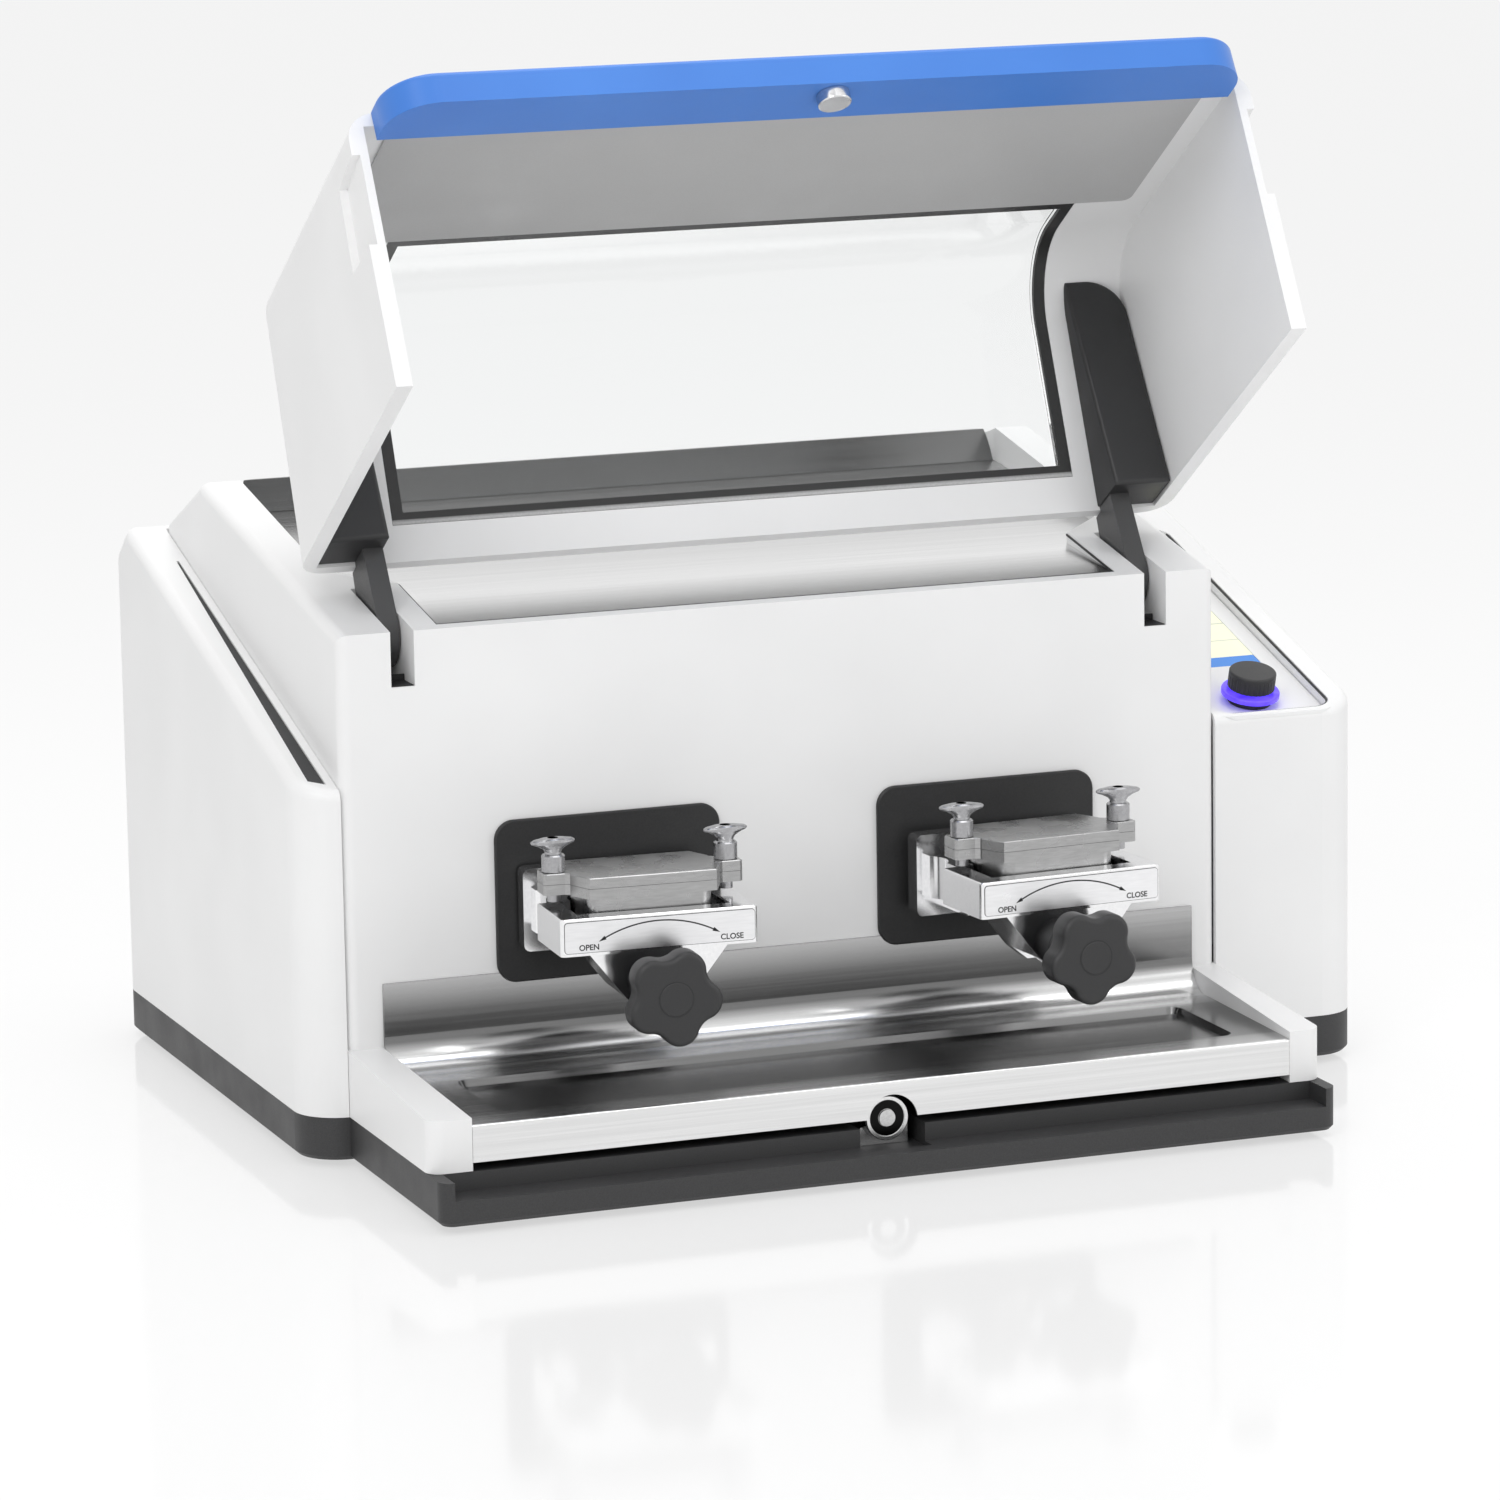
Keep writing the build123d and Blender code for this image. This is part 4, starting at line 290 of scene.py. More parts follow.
def grey_ramp(tree, value, low, high, stops):
    """Greys at places along a coordinate between two limits, with smooth changes between them."""
    ramp = tree.nodes.new("ShaderNodeValToRGB")
    points = ramp.color_ramp.elements
    points[0].position = 0.0
    points[0].color = (stops[0][1], stops[0][1], stops[0][1], 1)
    points[1].position = 1.0
    points[1].color = (stops[-1][1], stops[-1][1], stops[-1][1], 1)
    for spot, grey in stops[1:-1]:
        point = points.new((spot - low) / (high - low))
        point.color = (grey, grey, grey, 1)
    tree.links.new(between(tree, value, 0.0, 1.0, low, high), ramp.inputs["Fac"])
    return ramp.outputs["Color"]


MIX_FIRST = 6  # the mix node's colour sockets share their names with its other sockets
MIX_SECOND = 7
MIX_RESULT = 2


def product(tree, first, second):
    """Two colours or greys multiplied."""
    mixed = tree.nodes.new("ShaderNodeMix")
    mixed.data_type = "RGBA"
    mixed.blend_type = "MULTIPLY"
    mixed.inputs["Factor"].default_value = 1.0
    tree.links.new(first, mixed.inputs[MIX_FIRST])
    tree.links.new(second, mixed.inputs[MIX_SECOND])
    return mixed.outputs[MIX_RESULT]


def places(tree):
    """Object coordinates split into x, y and z."""
    place = tree.nodes.new("ShaderNodeTexCoord")
    split = tree.nodes.new("ShaderNodeSeparateXYZ")
    tree.links.new(place.outputs["Object"], split.inputs[0])
    return split.outputs


def brushed(name, roughness, stops, axis, limits, wall=None):
    """Rolled sheet brushed across the machine, with painted reflection: its grey, set along one axis, stands
    in for the room it mirrors.

    wall gives other stops of painted reflection along z, for the sheet that stands behind a depth y.
    """
    material, tree, surface = shader(name, (0.6, 0.6, 0.6), roughness, 1.0)
    where = places(tree)
    grey = grey_ramp(tree, where[axis], *limits, stops)
    if wall:
        behind = tree.nodes.new("ShaderNodeMath")
        behind.operation = "GREATER_THAN"
        tree.links.new(where["Y"], behind.inputs[0])
        behind.inputs[1].default_value = wall["behind"]
        upright = grey_ramp(tree, where["Z"], *wall["limits"], wall["stops"])
        either = tree.nodes.new("ShaderNodeMix")
        either.data_type = "RGBA"
        tree.links.new(behind.outputs[0], either.inputs["Factor"])
        tree.links.new(grey, either.inputs[MIX_FIRST])
        tree.links.new(upright, either.inputs[MIX_SECOND])
        grey = either.outputs[MIX_RESULT]
    streak = noise(tree, 420.0, stretch=(0.012, 1.3, 1.3), detail=3.0)
    fine = tint(tree, streak, (0.90, 0.90, 0.90), (1.0, 1.0, 1.0))
    tree.links.new(product(tree, grey, fine), surface.inputs["Base Color"])
    tree.links.new(between(tree, streak, roughness - 0.03, roughness + 0.04), surface.inputs["Roughness"])
    relief(tree, surface, streak, 0.03, 0.0001)
    return material


def machined(name, dark, light, roughness, grain=(1, 1, 1), fine=500.0, strength=0.06):
    """Ground or polished metal with faint tool marks."""
    material, tree, surface = shader(name, light, roughness, 1.0)
    marks = noise(tree, fine, stretch=grain, detail=3.0)
    tree.links.new(tint(tree, marks, dark, light), surface.inputs["Base Color"])
    haze = noise(tree, 45.0, detail=2.0)
    tree.links.new(between(tree, haze, roughness * 0.8, roughness * 1.3), surface.inputs["Roughness"])
    relief(tree, surface, marks, strength, 0.0001)
    return material


white_coat = powder_coat("white_coat", (0.83, 0.83, 0.83), (0.87, 0.87, 0.87), 0.42)
base_plastic = moulded("base_plastic", (0.030, 0.030, 0.031), 0.50, grain=1500.0)
black_plastic = moulded("black_plastic", (0.016, 0.016, 0.017), 0.48)
port_black = moulded("port_black", (0.012, 0.012, 0.0125), 0.55, grain=1200.0)
knob_black = moulded("knob_black", (0.020, 0.020, 0.021), 0.46, grain=3000.0)
graphite = powder_coat("graphite", (0.045, 0.045, 0.046), (0.060, 0.060, 0.061), 0.38)
# painted reflection: the grey stops along y on the tray's floor and slope, and along z on its rear wall,
# stand in for the room mirrored in the steel
tray_steel = brushed(
    "tray_steel", 0.20,
    ((-0.272, 0.80), (-0.2685, 0.80), (-0.266, 0.55), (-0.252, 0.42), (-0.247, 0.20), (-0.215, 0.13),
     (-0.175, 0.16), (-0.161, 0.24), (-0.158, 0.40), (-0.145, 0.62), (-0.140, 0.85)),
    "Y", (-0.272, -0.140),
    wall={"behind": -0.1385, "limits": (0.055, 0.110),
          "stops": ((0.055, 0.85), (0.062, 0.95), (0.067, 0.62),
                    (0.073, 0.20), (0.090, 0.26), (0.110, 0.50))})
# painted reflection: the grey stops along y, dark at the upturned rear edge, stand in for the room mirrored
# in the deck's steel
deck_steel = brushed(
    "deck_steel", 0.22,
    ((-0.112, 0.34), (-0.085, 0.50), (-0.05, 0.80), (0.03, 0.62), (0.10, 0.50), (0.150, 0.60),
     (0.163, 0.55), (0.166, 0.14), (0.175, 0.11), (0.178, 0.11)),
    "Y", (-0.112, 0.178))
polished = machined("polished", (0.84, 0.84, 0.85), (0.89, 0.89, 0.895), 0.12, strength=0.01)
jar_steel = machined("jar_steel", (0.36, 0.36, 0.36), (0.42, 0.42, 0.42), 0.27, (0.12, 1, 1), 900.0, 0.03)
screw_steel = machined("screw_steel", (0.36, 0.36, 0.37), (0.42, 0.42, 0.43), 0.24, strength=0.02)
plate_silver = machined(
    "plate_silver", (0.80, 0.80, 0.81), (0.86, 0.86, 0.87), 0.34, (0.1, 1, 1), 700.0, 0.02)
# black for print, for the slot linings, and for painted shade in gaps (the deck's gap, the control plate's
# gap, round the knob caps)
print_lining_and_gap_shade_black = moulded("print_lining_and_gap_shade_black", (0.010, 0.010, 0.011), 0.5, grain=800.0, strength=0.05)
hub_metal = machined("hub_metal", (0.60, 0.60, 0.61), (0.74, 0.74, 0.75), 0.22)
blue_coat = powder_coat("blue_coat", (0.040, 0.180, 0.600), (0.050, 0.210, 0.660), 0.36, grain=1500.0)
liner_grey = moulded("liner_grey", (0.47, 0.47, 0.47), 0.45, grain=1200.0, strength=0.08, spread=0.03)
seal_rubber = moulded("seal_rubber", (0.022, 0.022, 0.023), 0.55, grain=1500.0)
foot_rubber = moulded("foot_rubber", (0.018, 0.018, 0.018), 0.7, grain=900.0)
cast_paint = powder_coat(
    "cast_paint", (0.10, 0.105, 0.11), (0.13, 0.135, 0.14), 0.5, grain=500.0, strength=0.4)
board_green = moulded("board_green", (0.02, 0.12, 0.05), 0.35, grain=300.0)


def clear_sheet():
    """Clear plastic, wiped slightly dull in places."""
    material, tree, surface = shader("clear_sheet", (0.97, 0.98, 0.98), 0.02)
    surface.inputs["Transmission Weight"].default_value = 1.0
    surface.inputs["IOR"].default_value = 1.35
    wipe = noise(tree, 3.0, stretch=(0.3, 1, 1), detail=2.0)
    tree.links.new(between(tree, wipe, 0.01, 0.05), surface.inputs["Roughness"])
    return material


SCREEN_LOW = 0.082  # along the cheek's slope
SCREEN_HIGH = 0.182
SCREEN_BLUE = (0.03, 0.20, 0.62)
SCREEN_PALE = (0.80, 0.80, 0.60)
SCREEN_RULE = (0.55, 0.57, 0.45)
SCREEN_BAND_END = 0.135  # share of the screen that the heading takes
SCREEN_RULES = (0.36, 0.60, 0.84)
SCREEN_RULE_WIDTH = 0.015


def lit_screen():
    """Lit display: blue heading band in front, pale field with plain rows behind."""
    material, tree, surface = shader("lit_screen", (0.8, 0.8, 0.62), 0.18)
    place = tree.nodes.new("ShaderNodeTexCoord")
    mapping = tree.nodes.new("ShaderNodeMapping")
    mapping.vector_type = "TEXTURE"
    mapping.inputs["Location"].default_value = cheek_frame().to_translation()
    mapping.inputs["Rotation"].default_value = (CHEEK_PITCH, 0, 0)
    tree.links.new(place.outputs["Object"], mapping.inputs["Vector"])
    split = tree.nodes.new("ShaderNodeSeparateXYZ")
    tree.links.new(mapping.outputs["Vector"], split.inputs[0])
    along = between(tree, split.outputs["Y"], 0, 1, SCREEN_LOW, SCREEN_HIGH)
    rows = tint(tree, along, SCREEN_BLUE, SCREEN_PALE)
    ramp = rows.node.color_ramp
    ramp.interpolation = "CONSTANT"
    ramp.elements[0].position = 0.0
    ramp.elements[1].position = SCREEN_BAND_END
    for spot in SCREEN_RULES:
        ramp.elements.new(spot).color = (*SCREEN_RULE, 1)
        ramp.elements.new(spot + SCREEN_RULE_WIDTH).color = (*SCREEN_PALE, 1)
    tree.links.new(rows, surface.inputs["Base Color"])
    tree.links.new(rows, surface.inputs["Emission Color"])
    surface.inputs["Emission Strength"].default_value = 0.25
    return material


def lit_ring():
    """Lit plastic ring round the dial."""
    material, tree, surface = shader("lit_ring", (0.05, 0.02, 0.50), 0.25)
    haze = noise(tree, 120.0, detail=2.0)
    color = tint(tree, haze, (0.07, 0.03, 0.90), (0.15, 0.09, 1.0))
    tree.links.new(color, surface.inputs["Emission Color"])
    surface.inputs["Emission Strength"].default_value = 1.1
    return material


def magnet_face():
    """Chrome pot, black ring and brushed pole, by the distance from the magnet's axis."""
    material, tree, surface = shader("magnet_face", (0.6, 0.6, 0.6), 0.22, 1.0)
    place = tree.nodes.new("ShaderNodeTexCoord")
    off = tree.nodes.new("ShaderNodeVectorMath")
    off.operation = "SUBTRACT"
    off.inputs[1].default_value = MAGNET_AXIS
    flat = tree.nodes.new("ShaderNodeVectorMath")
    flat.operation = "MULTIPLY"
    flat.inputs[1].default_value = (1, 0, 1)
    reach = tree.nodes.new("ShaderNodeVectorMath")
    reach.operation = "LENGTH"
    tree.links.new(place.outputs["Object"], off.inputs[0])
    tree.links.new(off.outputs[0], flat.inputs[0])
    tree.links.new(flat.outputs[0], reach.inputs[0])
    stops = ((0.0, 0.62), (0.0052, 0.66), (0.0054, 0.012), (0.0107, 0.012), (0.0109, 0.82), (0.0136, 0.82))
    grey = grey_ramp(tree, reach.outputs["Value"], 0.0, 0.0136, stops)
    haze = tint(tree, noise(tree, 700.0), (0.86, 0.86, 0.86), (1.0, 1.0, 1.0))
    tree.links.new(product(tree, grey, haze), surface.inputs["Base Color"])
    return material


def window_rubber():
    """Black seal; the cross strip at the window's rear edge carries a painted grey reflection, lighter in the
    middle as a painted highlight, between two black lips.
    """
    material, tree, surface = shader("window_rubber", (0.02, 0.02, 0.02), 0.35)
    # painted reflection: the grey band across the seal's rear strip, with a lighter painted highlight, stands
    # in for the room mirrored on the rubber there
    stops = ((0.3600, 0.02), (0.3674, 0.02), (0.3679, 0.42), (0.3710, 0.55), (0.3722, 0.30), (0.3727, 0.02),
             (0.3800, 0.02))
    grey = grey_ramp(tree, places(tree)["Z"], 0.3600, 0.3800, stops)
    speck = tint(tree, noise(tree, 900.0), (0.8, 0.8, 0.8), (1.0, 1.0, 1.0))
    tree.links.new(product(tree, grey, speck), surface.inputs["Base Color"])
    return material


clear = clear_sheet()
magnet_metal = magnet_face()
window_black = window_rubber()
screen_lit = lit_screen()
ring_lit = lit_ring()


# ------------------------------------------------------------------ finishes on the solids
def coat(material, *names):
    """Gives solids a finish."""
    for name in names:
        node = nodes[name]
        for place in node.material_slots:
            place.material = material
        if not node.material_slots:
            node.data.materials.append(material)


coat(white_coat, "chamber_housing", "outer_cover", "hood_shell")
coat(base_plastic, "base_plate")
coat(foot_rubber, "feet")
coat(deck_steel, "steel_deck")
coat(tray_steel, "chamber_tray")
coat(port_black, "port_plates")
coat(black_plastic, "side_trim", "mains_inlet", "switch_frame", "power_switch", "dial_collar")
coat(white_coat, "control_plate")
coat(knob_black, "control_dial", "left_arm_cover", "right_arm_cover")
coat(graphite, "left_hinge_arm", "right_hinge_arm")
coat(blue_coat, "grip_strip")
coat(liner_grey, "hood_liner")
coat(clear, "hood_window")
coat(seal_rubber, "drive_belt")
coat(window_black, "window_seal")
coat(magnet_metal, "catch_magnet")
coat(screen_lit, "display")
coat(ring_lit, "light_ring")
coat(hub_metal, "hinge_pins", "dial_stem", "crank_bearings", "crankshaft", "motor_pulley", "latch_disc")
coat(cast_paint, "drive_frame", "drive_motor")
coat(board_green, "control_board")
for side_name in ("left", "right"):
    coat(polished, side_name + "_swing_arm", side_name + "_clamp_frame", side_name + "_spindle_bracket")
    coat(hub_metal, side_name + "_clamp_jaw", side_name + "_push_rod")
    coat(knob_black, side_name + "_star_knob", side_name + "_knob_cap")
    coat(jar_steel, side_name + "_jar", side_name + "_jar_lid")
    coat(seal_rubber, side_name + "_jar_seal")
    coat(screw_steel, side_name + "_outer_wing_screw", side_name + "_inner_wing_screw")


# ------------------------------------------------------------------ pieces that the solids leave out
SHARP_FROM = radians(35)  # edges steeper than this stay sharp in shading


def add_piece(name, shape, place, body, material, smooth=False):
    """Puts a shape, drawn in millimetres, at its place and fastens it to a body."""
    bmesh.ops.transform(shape, matrix=place @ Matrix.Scale(MM, 4), verts=shape.verts)
    bmesh.ops.recalc_face_normals(shape, faces=shape.faces)
    mesh = bpy.data.meshes.new(name)
    shape.to_mesh(mesh)
    shape.free()
    if smooth:
        mesh.polygons.foreach_set("use_smooth", [True] * len(mesh.polygons))
        mesh.set_sharp_from_angle(angle=SHARP_FROM)
    mesh.materials.append(material)
    piece = bpy.data.objects.new(name, mesh)
    scene.collection.objects.link(piece)
    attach(piece, body)
    return piece


def block(shape, low, high):
    """A block between two corners."""
    made = bmesh.ops.create_cube(shape, size=1.0)["verts"]
    size = [b - a for a, b in zip(low, high)]
    middle = [(a + b) / 2 for a, b in zip(low, high)]
    bmesh.ops.scale(shape, vec=size, verts=made)
    bmesh.ops.translate(shape, vec=middle, verts=made)


def rod(shape, radius, start, end, segments=64):
    """A round bar along z between two heights."""
    made = bmesh.ops.create_cone(shape, cap_ends=True, segments=segments, radius1=radius, radius2=radius,
                                 depth=end - start)["verts"]
    bmesh.ops.translate(shape, vec=(0, 0, (start + end) / 2), verts=made)


def turn_about(shape, axis, angle, verts):
    """Turns some of a shape about an axis through the drawing's origin."""
    bmesh.ops.rotate(shape, cent=(0, 0, 0), matrix=Matrix.Rotation(angle, 3, axis), verts=verts)


def new_face(made):
    """The face among what an operator made."""
    return next(g for g in made if isinstance(g, bmesh.types.BMFace))


def new_verts(made):
    """The corners among what an operator made."""
    return [g for g in made if isinstance(g, bmesh.types.BMVert)]


def soften(shape, edges, radius, segments):
    """Rounds edges over."""
    bmesh.ops.bevel(shape, geom=edges, offset=radius, offset_type="OFFSET", segments=segments,
                    profile=0.5, affect="EDGES", material=-1, clamp_overlap=True)


def rounded_plate(width, height, thickness, corner):
    """Upright plate in x and z, its front at y 0 facing forward, with round corners."""
    shape = bmesh.new()
    block(shape, (-width / 2, 0, -height / 2), (width / 2, thickness, height / 2))
    corners = [e for e in shape.edges if abs(e.verts[0].co.y - e.verts[1].co.y) > thickness / 2]
    soften(shape, corners, corner, 8)
    return shape


# star knobs: five broad lobes joined by hollows
KNOB_RADIUS = 29.0
LOBE_RADIUS = 11.5
HOLLOW_RADIUS = 12.0
LOBES = 5
FIRST_LOBE = {"left": radians(64.0), "right": radians(50.0)}
KNOB_DEPTH = 16.0
KNOB_FRONT = -31.5  # the knob's face stands this far out from the clamp's
KNOB_Z = 117.0
KNOB_FRONT_EDGE = 3.5
KNOB_BACK_EDGE = 1.5
HUB_RADIUS = 14.0
HUB_END = -34.2  # behind the knob's face
SPINDLE_RADIUS = 6.0
SPINDLE_END = -78.5
CAP_GAP_RADIUS = 10.7
CLOSE_TO = 1e-6


def knob_reach(angle):
    """Radius of the star outline at an angle from the nearest lobe."""
    lobe = KNOB_RADIUS - LOBE_RADIUS
    half = pi / LOBES
    across = lobe * cos(half)
    hollow = across + sqrt(across ** 2 - lobe ** 2 + (LOBE_RADIUS + HOLLOW_RADIUS) ** 2)
    meet_x = lobe + (hollow * cos(half) - lobe) * LOBE_RADIUS / (LOBE_RADIUS + HOLLOW_RADIUS)
    meet_y = hollow * sin(half) * LOBE_RADIUS / (LOBE_RADIUS + HOLLOW_RADIUS)
    if meet_x * sin(angle) < meet_y * cos(angle):
        return lobe * cos(angle) + sqrt(LOBE_RADIUS ** 2 - (lobe * sin(angle)) ** 2)
    rest = half - angle
    return hollow * cos(rest) - sqrt(HOLLOW_RADIUS ** 2 - (hollow * sin(rest)) ** 2)


def star_knob(side, label):
    """Knob with its hub and spindle, turned as in the photograph."""
    shape = bmesh.new()
    ring = bmesh.ops.create_circle(shape, cap_ends=True, segments=360, radius=1.0)["verts"]
    for vert in ring:
        turn = Vector((1, 0)).angle_signed(Vector((vert.co.x, vert.co.y)))
        off = (-turn - FIRST_LOBE[label]) % (2 * pi / LOBES)
        reach = knob_reach(min(off, 2 * pi / LOBES - off))
        vert.co = (vert.co.x * reach, vert.co.y * reach, -KNOB_DEPTH)
    raised = bmesh.ops.extrude_face_region(shape, geom=shape.faces[:])["geom"]
    bmesh.ops.translate(shape, vec=(0, 0, KNOB_DEPTH), verts=new_verts(raised))
    front = [e for e in shape.edges if all(v.co.z > -CLOSE_TO for v in e.verts)]
    soften(shape, front, KNOB_FRONT_EDGE, 6)
    back = [e for e in shape.edges if all(v.co.z < -KNOB_DEPTH + CLOSE_TO for v in e.verts)]
    soften(shape, back, KNOB_BACK_EDGE, 3)
    rod(shape, HUB_RADIUS, HUB_END, -KNOB_DEPTH)
    rod(shape, SPINDLE_RADIUS, SPINDLE_END, HUB_END)
    face = Matrix.Translation((0, KNOB_FRONT * MM, KNOB_Z * MM)) @ Matrix.Rotation(pi / 2, 4, "X")
    place = station_frame(side) @ face
    body = label + "_knob"
    # painted shade: a black disc at the knob's face shows round the cap as the shade in the gap between cap
    # and knob
    gap_shade_disc = bmesh.new()
    rod(gap_shade_disc, CAP_GAP_RADIUS, -0.1, 0.12)
    add_piece(label + "_cap_gap_shade", gap_shade_disc, place, body, print_lining_and_gap_shade_black)
    knob = add_piece(label + "_knob_grip", shape, place, body, knob_black, smooth=True)
    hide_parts(label + "_star_knob")


# direction plates on the clamps, with the arc of the knob's turn
PRINT_THICKNESS = 0.06
STROKE_GAIN = 0.10  # the letters are bolder than the font's
HEAD_RADIUS = 2.3
HEAD_SHAPE = (0.62, 1.35, 1)


def flat_words(text, height):
    """Word standing in x and z, its front toward -y."""
    curve = bpy.data.curves.new("word", "FONT")
    curve.body = text
    curve.size = height
    curve.align_x = "CENTER"
    curve.extrude = PRINT_THICKNESS / 2
    curve.offset = STROKE_GAIN
    maker = bpy.data.objects.new("word", curve)
    scene.collection.objects.link(maker)
    bpy.context.view_layer.update()
    mesh = bpy.data.meshes.new_from_object(maker)
    shape = bmesh.new()
    shape.from_mesh(mesh)
    bpy.data.objects.remove(maker)
    bpy.data.curves.remove(curve)
    bpy.data.meshes.remove(mesh)
    turn_about(shape, "X", pi / 2, shape.verts)
    return shape


def turn_arrow(half_chord, rise, width):
    """Double-headed arc in x and z with its ends at z 0."""
    radius = (half_chord ** 2 + rise ** 2) / (2 * rise)
    half_turn = asin(half_chord / radius)
    shape = bmesh.new()
    start = bmesh.ops.create_grid(shape, x_segments=1, y_segments=1, size=0.5)["verts"]
    turn_about(shape, "Y", pi / 2, start)
    bmesh.ops.scale(shape, vec=(1, PRINT_THICKNESS, width), verts=start)
    bmesh.ops.translate(shape, vec=(0, 0, radius), verts=start)
    turn_about(shape, "Y", -half_turn, start)
    bmesh.ops.spin(shape, geom=shape.verts[:] + shape.edges[:] + shape.faces[:], cent=(0, 0, 0),
                   axis=(0, 1, 0), angle=2 * half_turn, steps=32, use_merge=False)
    for end in (-1, 1):
        head = bmesh.ops.create_cone(shape, cap_ends=True, segments=3, radius1=HEAD_RADIUS,
                                     radius2=HEAD_RADIUS, depth=PRINT_THICKNESS)["verts"]
        bmesh.ops.scale(shape, vec=HEAD_SHAPE, verts=head)
        turn_about(shape, "X", pi / 2, head)
        turn_about(shape, "Y", end * (pi / 2 + half_turn), head)
        spot = (end * radius * sin(half_turn), 0, radius * cos(half_turn))
        bmesh.ops.translate(shape, vec=spot, verts=head)
    bmesh.ops.translate(shape, vec=(0, 0, rise - radius), verts=shape.verts)
    return shape


CLAMP_MIDDLE_Z = 151.0
PLATE_WIDTH = 115.0
PLATE_HEIGHT = 18.0
PLATE_THICKNESS = 0.25
PLATE_CORNER = 1.9
BORDER_WIDTH = 0.3
ARROW_HALF_CHORD = 34.0
ARROW_RISE = 8.4
ARROW_WIDTH = 0.85
ARROW_PLACE = (-0.5, -0.54, -1.6)  # from the middle of the clamp's front
WORDS = (("OPEN", -43.0), ("CLOSE", 43.5))
WORD_HEIGHT = 4.7
WORD_Y = -0.53
WORD_Z = -7.6


def direction_plate(side, label):
    """Silver plate on the clamp's front with the knob's turning direction, in a fine dark border."""
    arm = label + "_arm"
    front = station_frame(side) @ Matrix.Translation((0, 0, CLAMP_MIDDLE_Z * MM))

    def at(x, y, z):
        return front @ Matrix.Translation((x * MM, y * MM, z * MM))

    border = rounded_plate(PLATE_WIDTH + 2 * BORDER_WIDTH, PLATE_HEIGHT + 2 * BORDER_WIDTH, PLATE_THICKNESS,
                           PLATE_CORNER + BORDER_WIDTH)
    place = at(0, -PLATE_THICKNESS, 0)
    add_piece(label + "_plate_border", border, place, arm, print_lining_and_gap_shade_black)
    plate = rounded_plate(PLATE_WIDTH, PLATE_HEIGHT, PLATE_THICKNESS, PLATE_CORNER)
    place = at(0, -2 * PLATE_THICKNESS, 0)
    add_piece(label + "_direction_plate", plate, place, arm, plate_silver)
    arrow = turn_arrow(ARROW_HALF_CHORD, ARROW_RISE, ARROW_WIDTH)
    add_piece(label + "_turn_arrow", arrow, at(*ARROW_PLACE), arm, print_lining_and_gap_shade_black)
    for text, x in WORDS:
        word = flat_words(text, WORD_HEIGHT)
        name = label + "_word_" + text.lower()
        add_piece(name, word, at(x, WORD_Y, WORD_Z), arm, print_lining_and_gap_shade_black)


# wing screws: half length, half width and height of each ring of the head, from the sleeve's foot up
WING_RINGS = (
    (7.0, 7.0, 183.1), (7.0, 7.0, 192.4), (6.2, 6.2, 193.2), (5.0, 5.0, 193.6), (5.0, 4.8, 194.8),
    (6.4, 5.0, 196.6), (9.8, 5.3, 198.4), (13.4, 5.6, 199.6), (14.0, 5.8, 200.4), (13.8, 5.7, 201.2),
    (12.4, 5.2, 202.0), (8.0, 4.4, 202.7), (3.2, 3.2, 203.0), (2.2, 2.2, 203.0), (2.2, 2.2, 201.4))
SCREW_RADIUS = 4.0
SCREW_END_Z = 165.2
SCREW_OFFSET = 52.5  # from the jar's middle
JAR_MIDDLE = 40.5  # behind the clamp's face
WING_TURN = radians(-8)  # how far the wings stand round from the clamp's line


def wing_screw(side, label, end):
    """Screw with a round sleeve and two wings that sweep up and out from a neck."""
    shape = bmesh.new()
    ring = bmesh.ops.create_circle(shape, cap_ends=True, segments=64, radius=1.0)["verts"]
    bmesh.ops.scale(shape, vec=(*WING_RINGS[0][:2], 1), verts=ring)
    bmesh.ops.translate(shape, vec=(0, 0, WING_RINGS[0][2]), verts=ring)
    face = next(iter(shape.faces))
    last = WING_RINGS[0]
    for level in WING_RINGS[1:]:
        made = bmesh.ops.extrude_face_region(shape, geom=[face])["geom"]
        face = new_face(made)
        verts = list(face.verts)
        bmesh.ops.scale(shape, vec=(level[0] / last[0], level[1] / last[1], 1), verts=verts)
        bmesh.ops.translate(shape, vec=(0, 0, level[2] - last[2]), verts=verts)
        last = level
    rod(shape, SCREW_RADIUS, SCREW_END_Z, WING_RINGS[0][2], segments=48)
    axis = Matrix.Translation((end * SCREW_OFFSET * MM, JAR_MIDDLE * MM, 0))
    place = station_frame(side) @ axis @ Matrix.Rotation(WING_TURN * side, 4, "Z")
    name = label + ("_outer" if side == end else "_inner")
    body = name + "_screw"
    screw = add_piece(name + "_wing_grip", shape, place, body, screw_steel, smooth=True)
    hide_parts(name + "_wing_screw")


for side, label in SIDES:
    star_knob(side, label)
    direction_plate(side, label)
    for end in (-1, 1):
        wing_screw(side, label, end)


# black plates on the floors of the hinge slots
ARM_OFFSET = 241.5
SLOT_BOTTOM = 286.0
LINING_HALF = 6.9
LINING_FRONT = -116.8
LINING_STEP = -99.0  # where the lining turns up
LINING_REAR = -97.6
LINING_LIFT = 0.05
for side, label in SIDES:
    lining = bmesh.new()
    foot = SLOT_BOTTOM + LINING_LIFT
    block(lining, (-LINING_HALF, LINING_FRONT, foot), (LINING_HALF, LINING_STEP, SLOT_BOTTOM + 0.6))
    block(lining, (-LINING_HALF, LINING_STEP, foot), (LINING_HALF, LINING_REAR, SLOT_BOTTOM + 4.2))
    middle = Matrix.Translation((BODY_MID + side * ARM_OFFSET * MM, 0, 0))
    add_piece(label + "_slot_plate", lining, middle, "housing", print_lining_and_gap_shade_black)


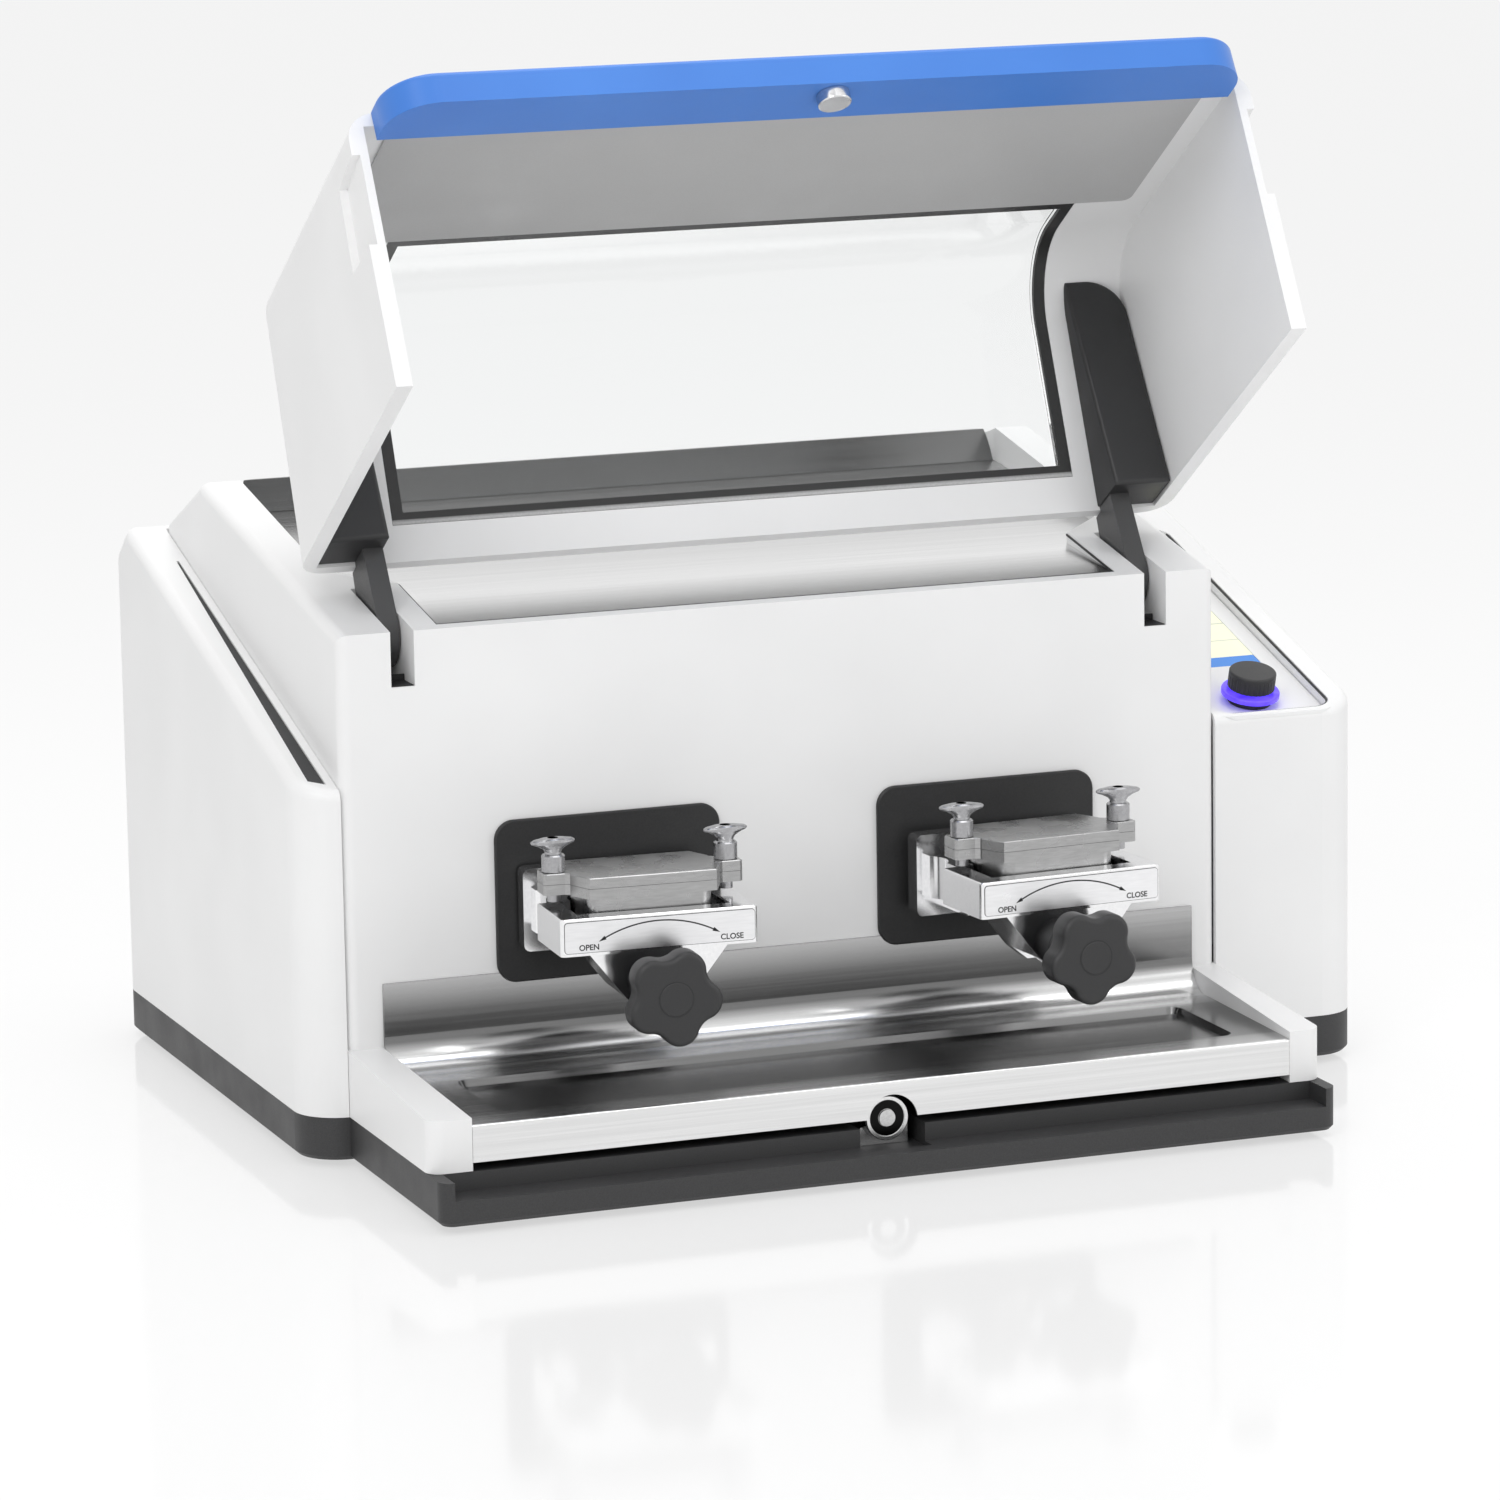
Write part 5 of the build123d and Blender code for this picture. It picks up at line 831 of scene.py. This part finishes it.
# moulded covers of the hinge arms, with a round outer tip; drawn on the closed hood
HOOD_HALF = 282.0
PANEL_TOP = 319.0
CEILING_DEPTH = 8.6  # hood's wall and a small gap
COVER_INNER = 48.0  # from the hood's side
COVER_OUTER = 10.4
COVER_TIP = -262.0
COVER_REAR = -121.4
COVER_BOTTOM = 276.3
COVER_MIDDLE_Z = 290.0
TIP_RADIUS = 24.0
BOTTOM_RADIUS = 3.0
REAR_RADIUS = 1.5
for side, label in SIDES:
    cover = bmesh.new()
    inner = side * (HOOD_HALF - COVER_INNER)
    outer = side * (HOOD_HALF - COVER_OUTER)
    block(cover, (min(inner, outer), COVER_TIP, COVER_BOTTOM), (max(inner, outer), COVER_REAR, 300.0))
    for vert in cover.verts:
        if vert.co.z > COVER_MIDDLE_Z:
            vert.co.z = PANEL_TOP - CEILING_DEPTH + (vert.co.y - PANEL_Y / MM) * tan(TOP_PITCH)
    tip = [e for e in cover.edges if all(v.co.y < COVER_TIP + 2 and abs(v.co.x - outer) < 1 for v in e.verts)]
    soften(cover, tip, TIP_RADIUS, 12)
    low = [e for e in cover.edges if all(v.co.z < COVER_BOTTOM + 0.7 for v in e.verts)]
    soften(cover, low, BOTTOM_RADIUS, 4)
    rear = [e for e in cover.edges if all(v.co.y > COVER_REAR - 0.1 for v in e.verts) and e.calc_length() > 4]
    soften(cover, rear, REAR_RADIUS, 3)
    place = hood_frame() @ Matrix.Translation((BODY_MID, 0, 0))
    piece = add_piece(label + "_cover_shell", cover, place, "hood", knob_black, smooth=True)
    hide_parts(label + "_arm_cover")


# painted shade: a black strip in the gap along the steel deck's front and the front part of its sides,
# standing in for the shade inside the gap
DECK_FRONT_Y = -111.0
DECK_FRONT_Z = 320.3
DECK_HALF = 218.0
GAP_TOP = -0.35
GAP_FRONT_WIDTH = 2.3
GAP_SIDE_HALF = 0.35
GAP_SIDE_END = 74.0
deck_gap = bmesh.new()
block(deck_gap, (-DECK_HALF + 0.3, 0.05, -1.6), (DECK_HALF - 0.3, GAP_FRONT_WIDTH, GAP_TOP))
for end in (-1, 1):
    edge = end * (DECK_HALF - 0.6)
    block(deck_gap, (edge - GAP_SIDE_HALF, GAP_FRONT_WIDTH, -1.5),
          (edge + GAP_SIDE_HALF, GAP_SIDE_END, GAP_TOP))
deck_edge = Matrix.Translation((BODY_MID, DECK_FRONT_Y * MM, DECK_FRONT_Z * MM))
deck_place = deck_edge @ Matrix.Rotation(TOP_PITCH, 4, "X")
add_piece("deck_gap_shade_strip", deck_gap, deck_place, "housing", print_lining_and_gap_shade_black)


# painted shade: a dark line round the front and the right of the control plate, at the cheek's surface,
# standing in for the shade in the gap between plate and cheek
LINE_START = (249.0, 3.8, -1.3)
LINE_SECTION = (1, 0.9, 1.2)
LINE_FRONT_LENGTH = 65.0
LINE_SIDE_LENGTH = 250.0
LINE_CORNER_CENTRE = (314.0, 16.0, -1.3)
outline = bmesh.new()
section = bmesh.ops.create_grid(outline, x_segments=1, y_segments=1, size=0.5)["verts"]
turn_about(outline, "Y", pi / 2, section)
bmesh.ops.scale(outline, vec=LINE_SECTION, verts=section)
bmesh.ops.translate(outline, vec=LINE_START, verts=section)
front_end = new_face(bmesh.ops.extrude_face_region(outline, geom=outline.faces[:])["geom"])
bmesh.ops.translate(outline, vec=(LINE_FRONT_LENGTH, 0, 0), verts=list(front_end.verts))
end_parts = [front_end, *front_end.edges, *front_end.verts]
turned = bmesh.ops.spin(outline, geom=end_parts, cent=LINE_CORNER_CENTRE, axis=(0, 0, 1), angle=pi / 2,
                        steps=10, use_merge=False)["geom_last"]
side_bar = bmesh.ops.extrude_face_region(outline, geom=[new_face(turned)])["geom"]
bmesh.ops.translate(outline, vec=(0, LINE_SIDE_LENGTH, 0), verts=new_verts(side_bar))
add_piece("control_plate_gap_shade", outline, cheek_frame(), "housing", print_lining_and_gap_shade_black)
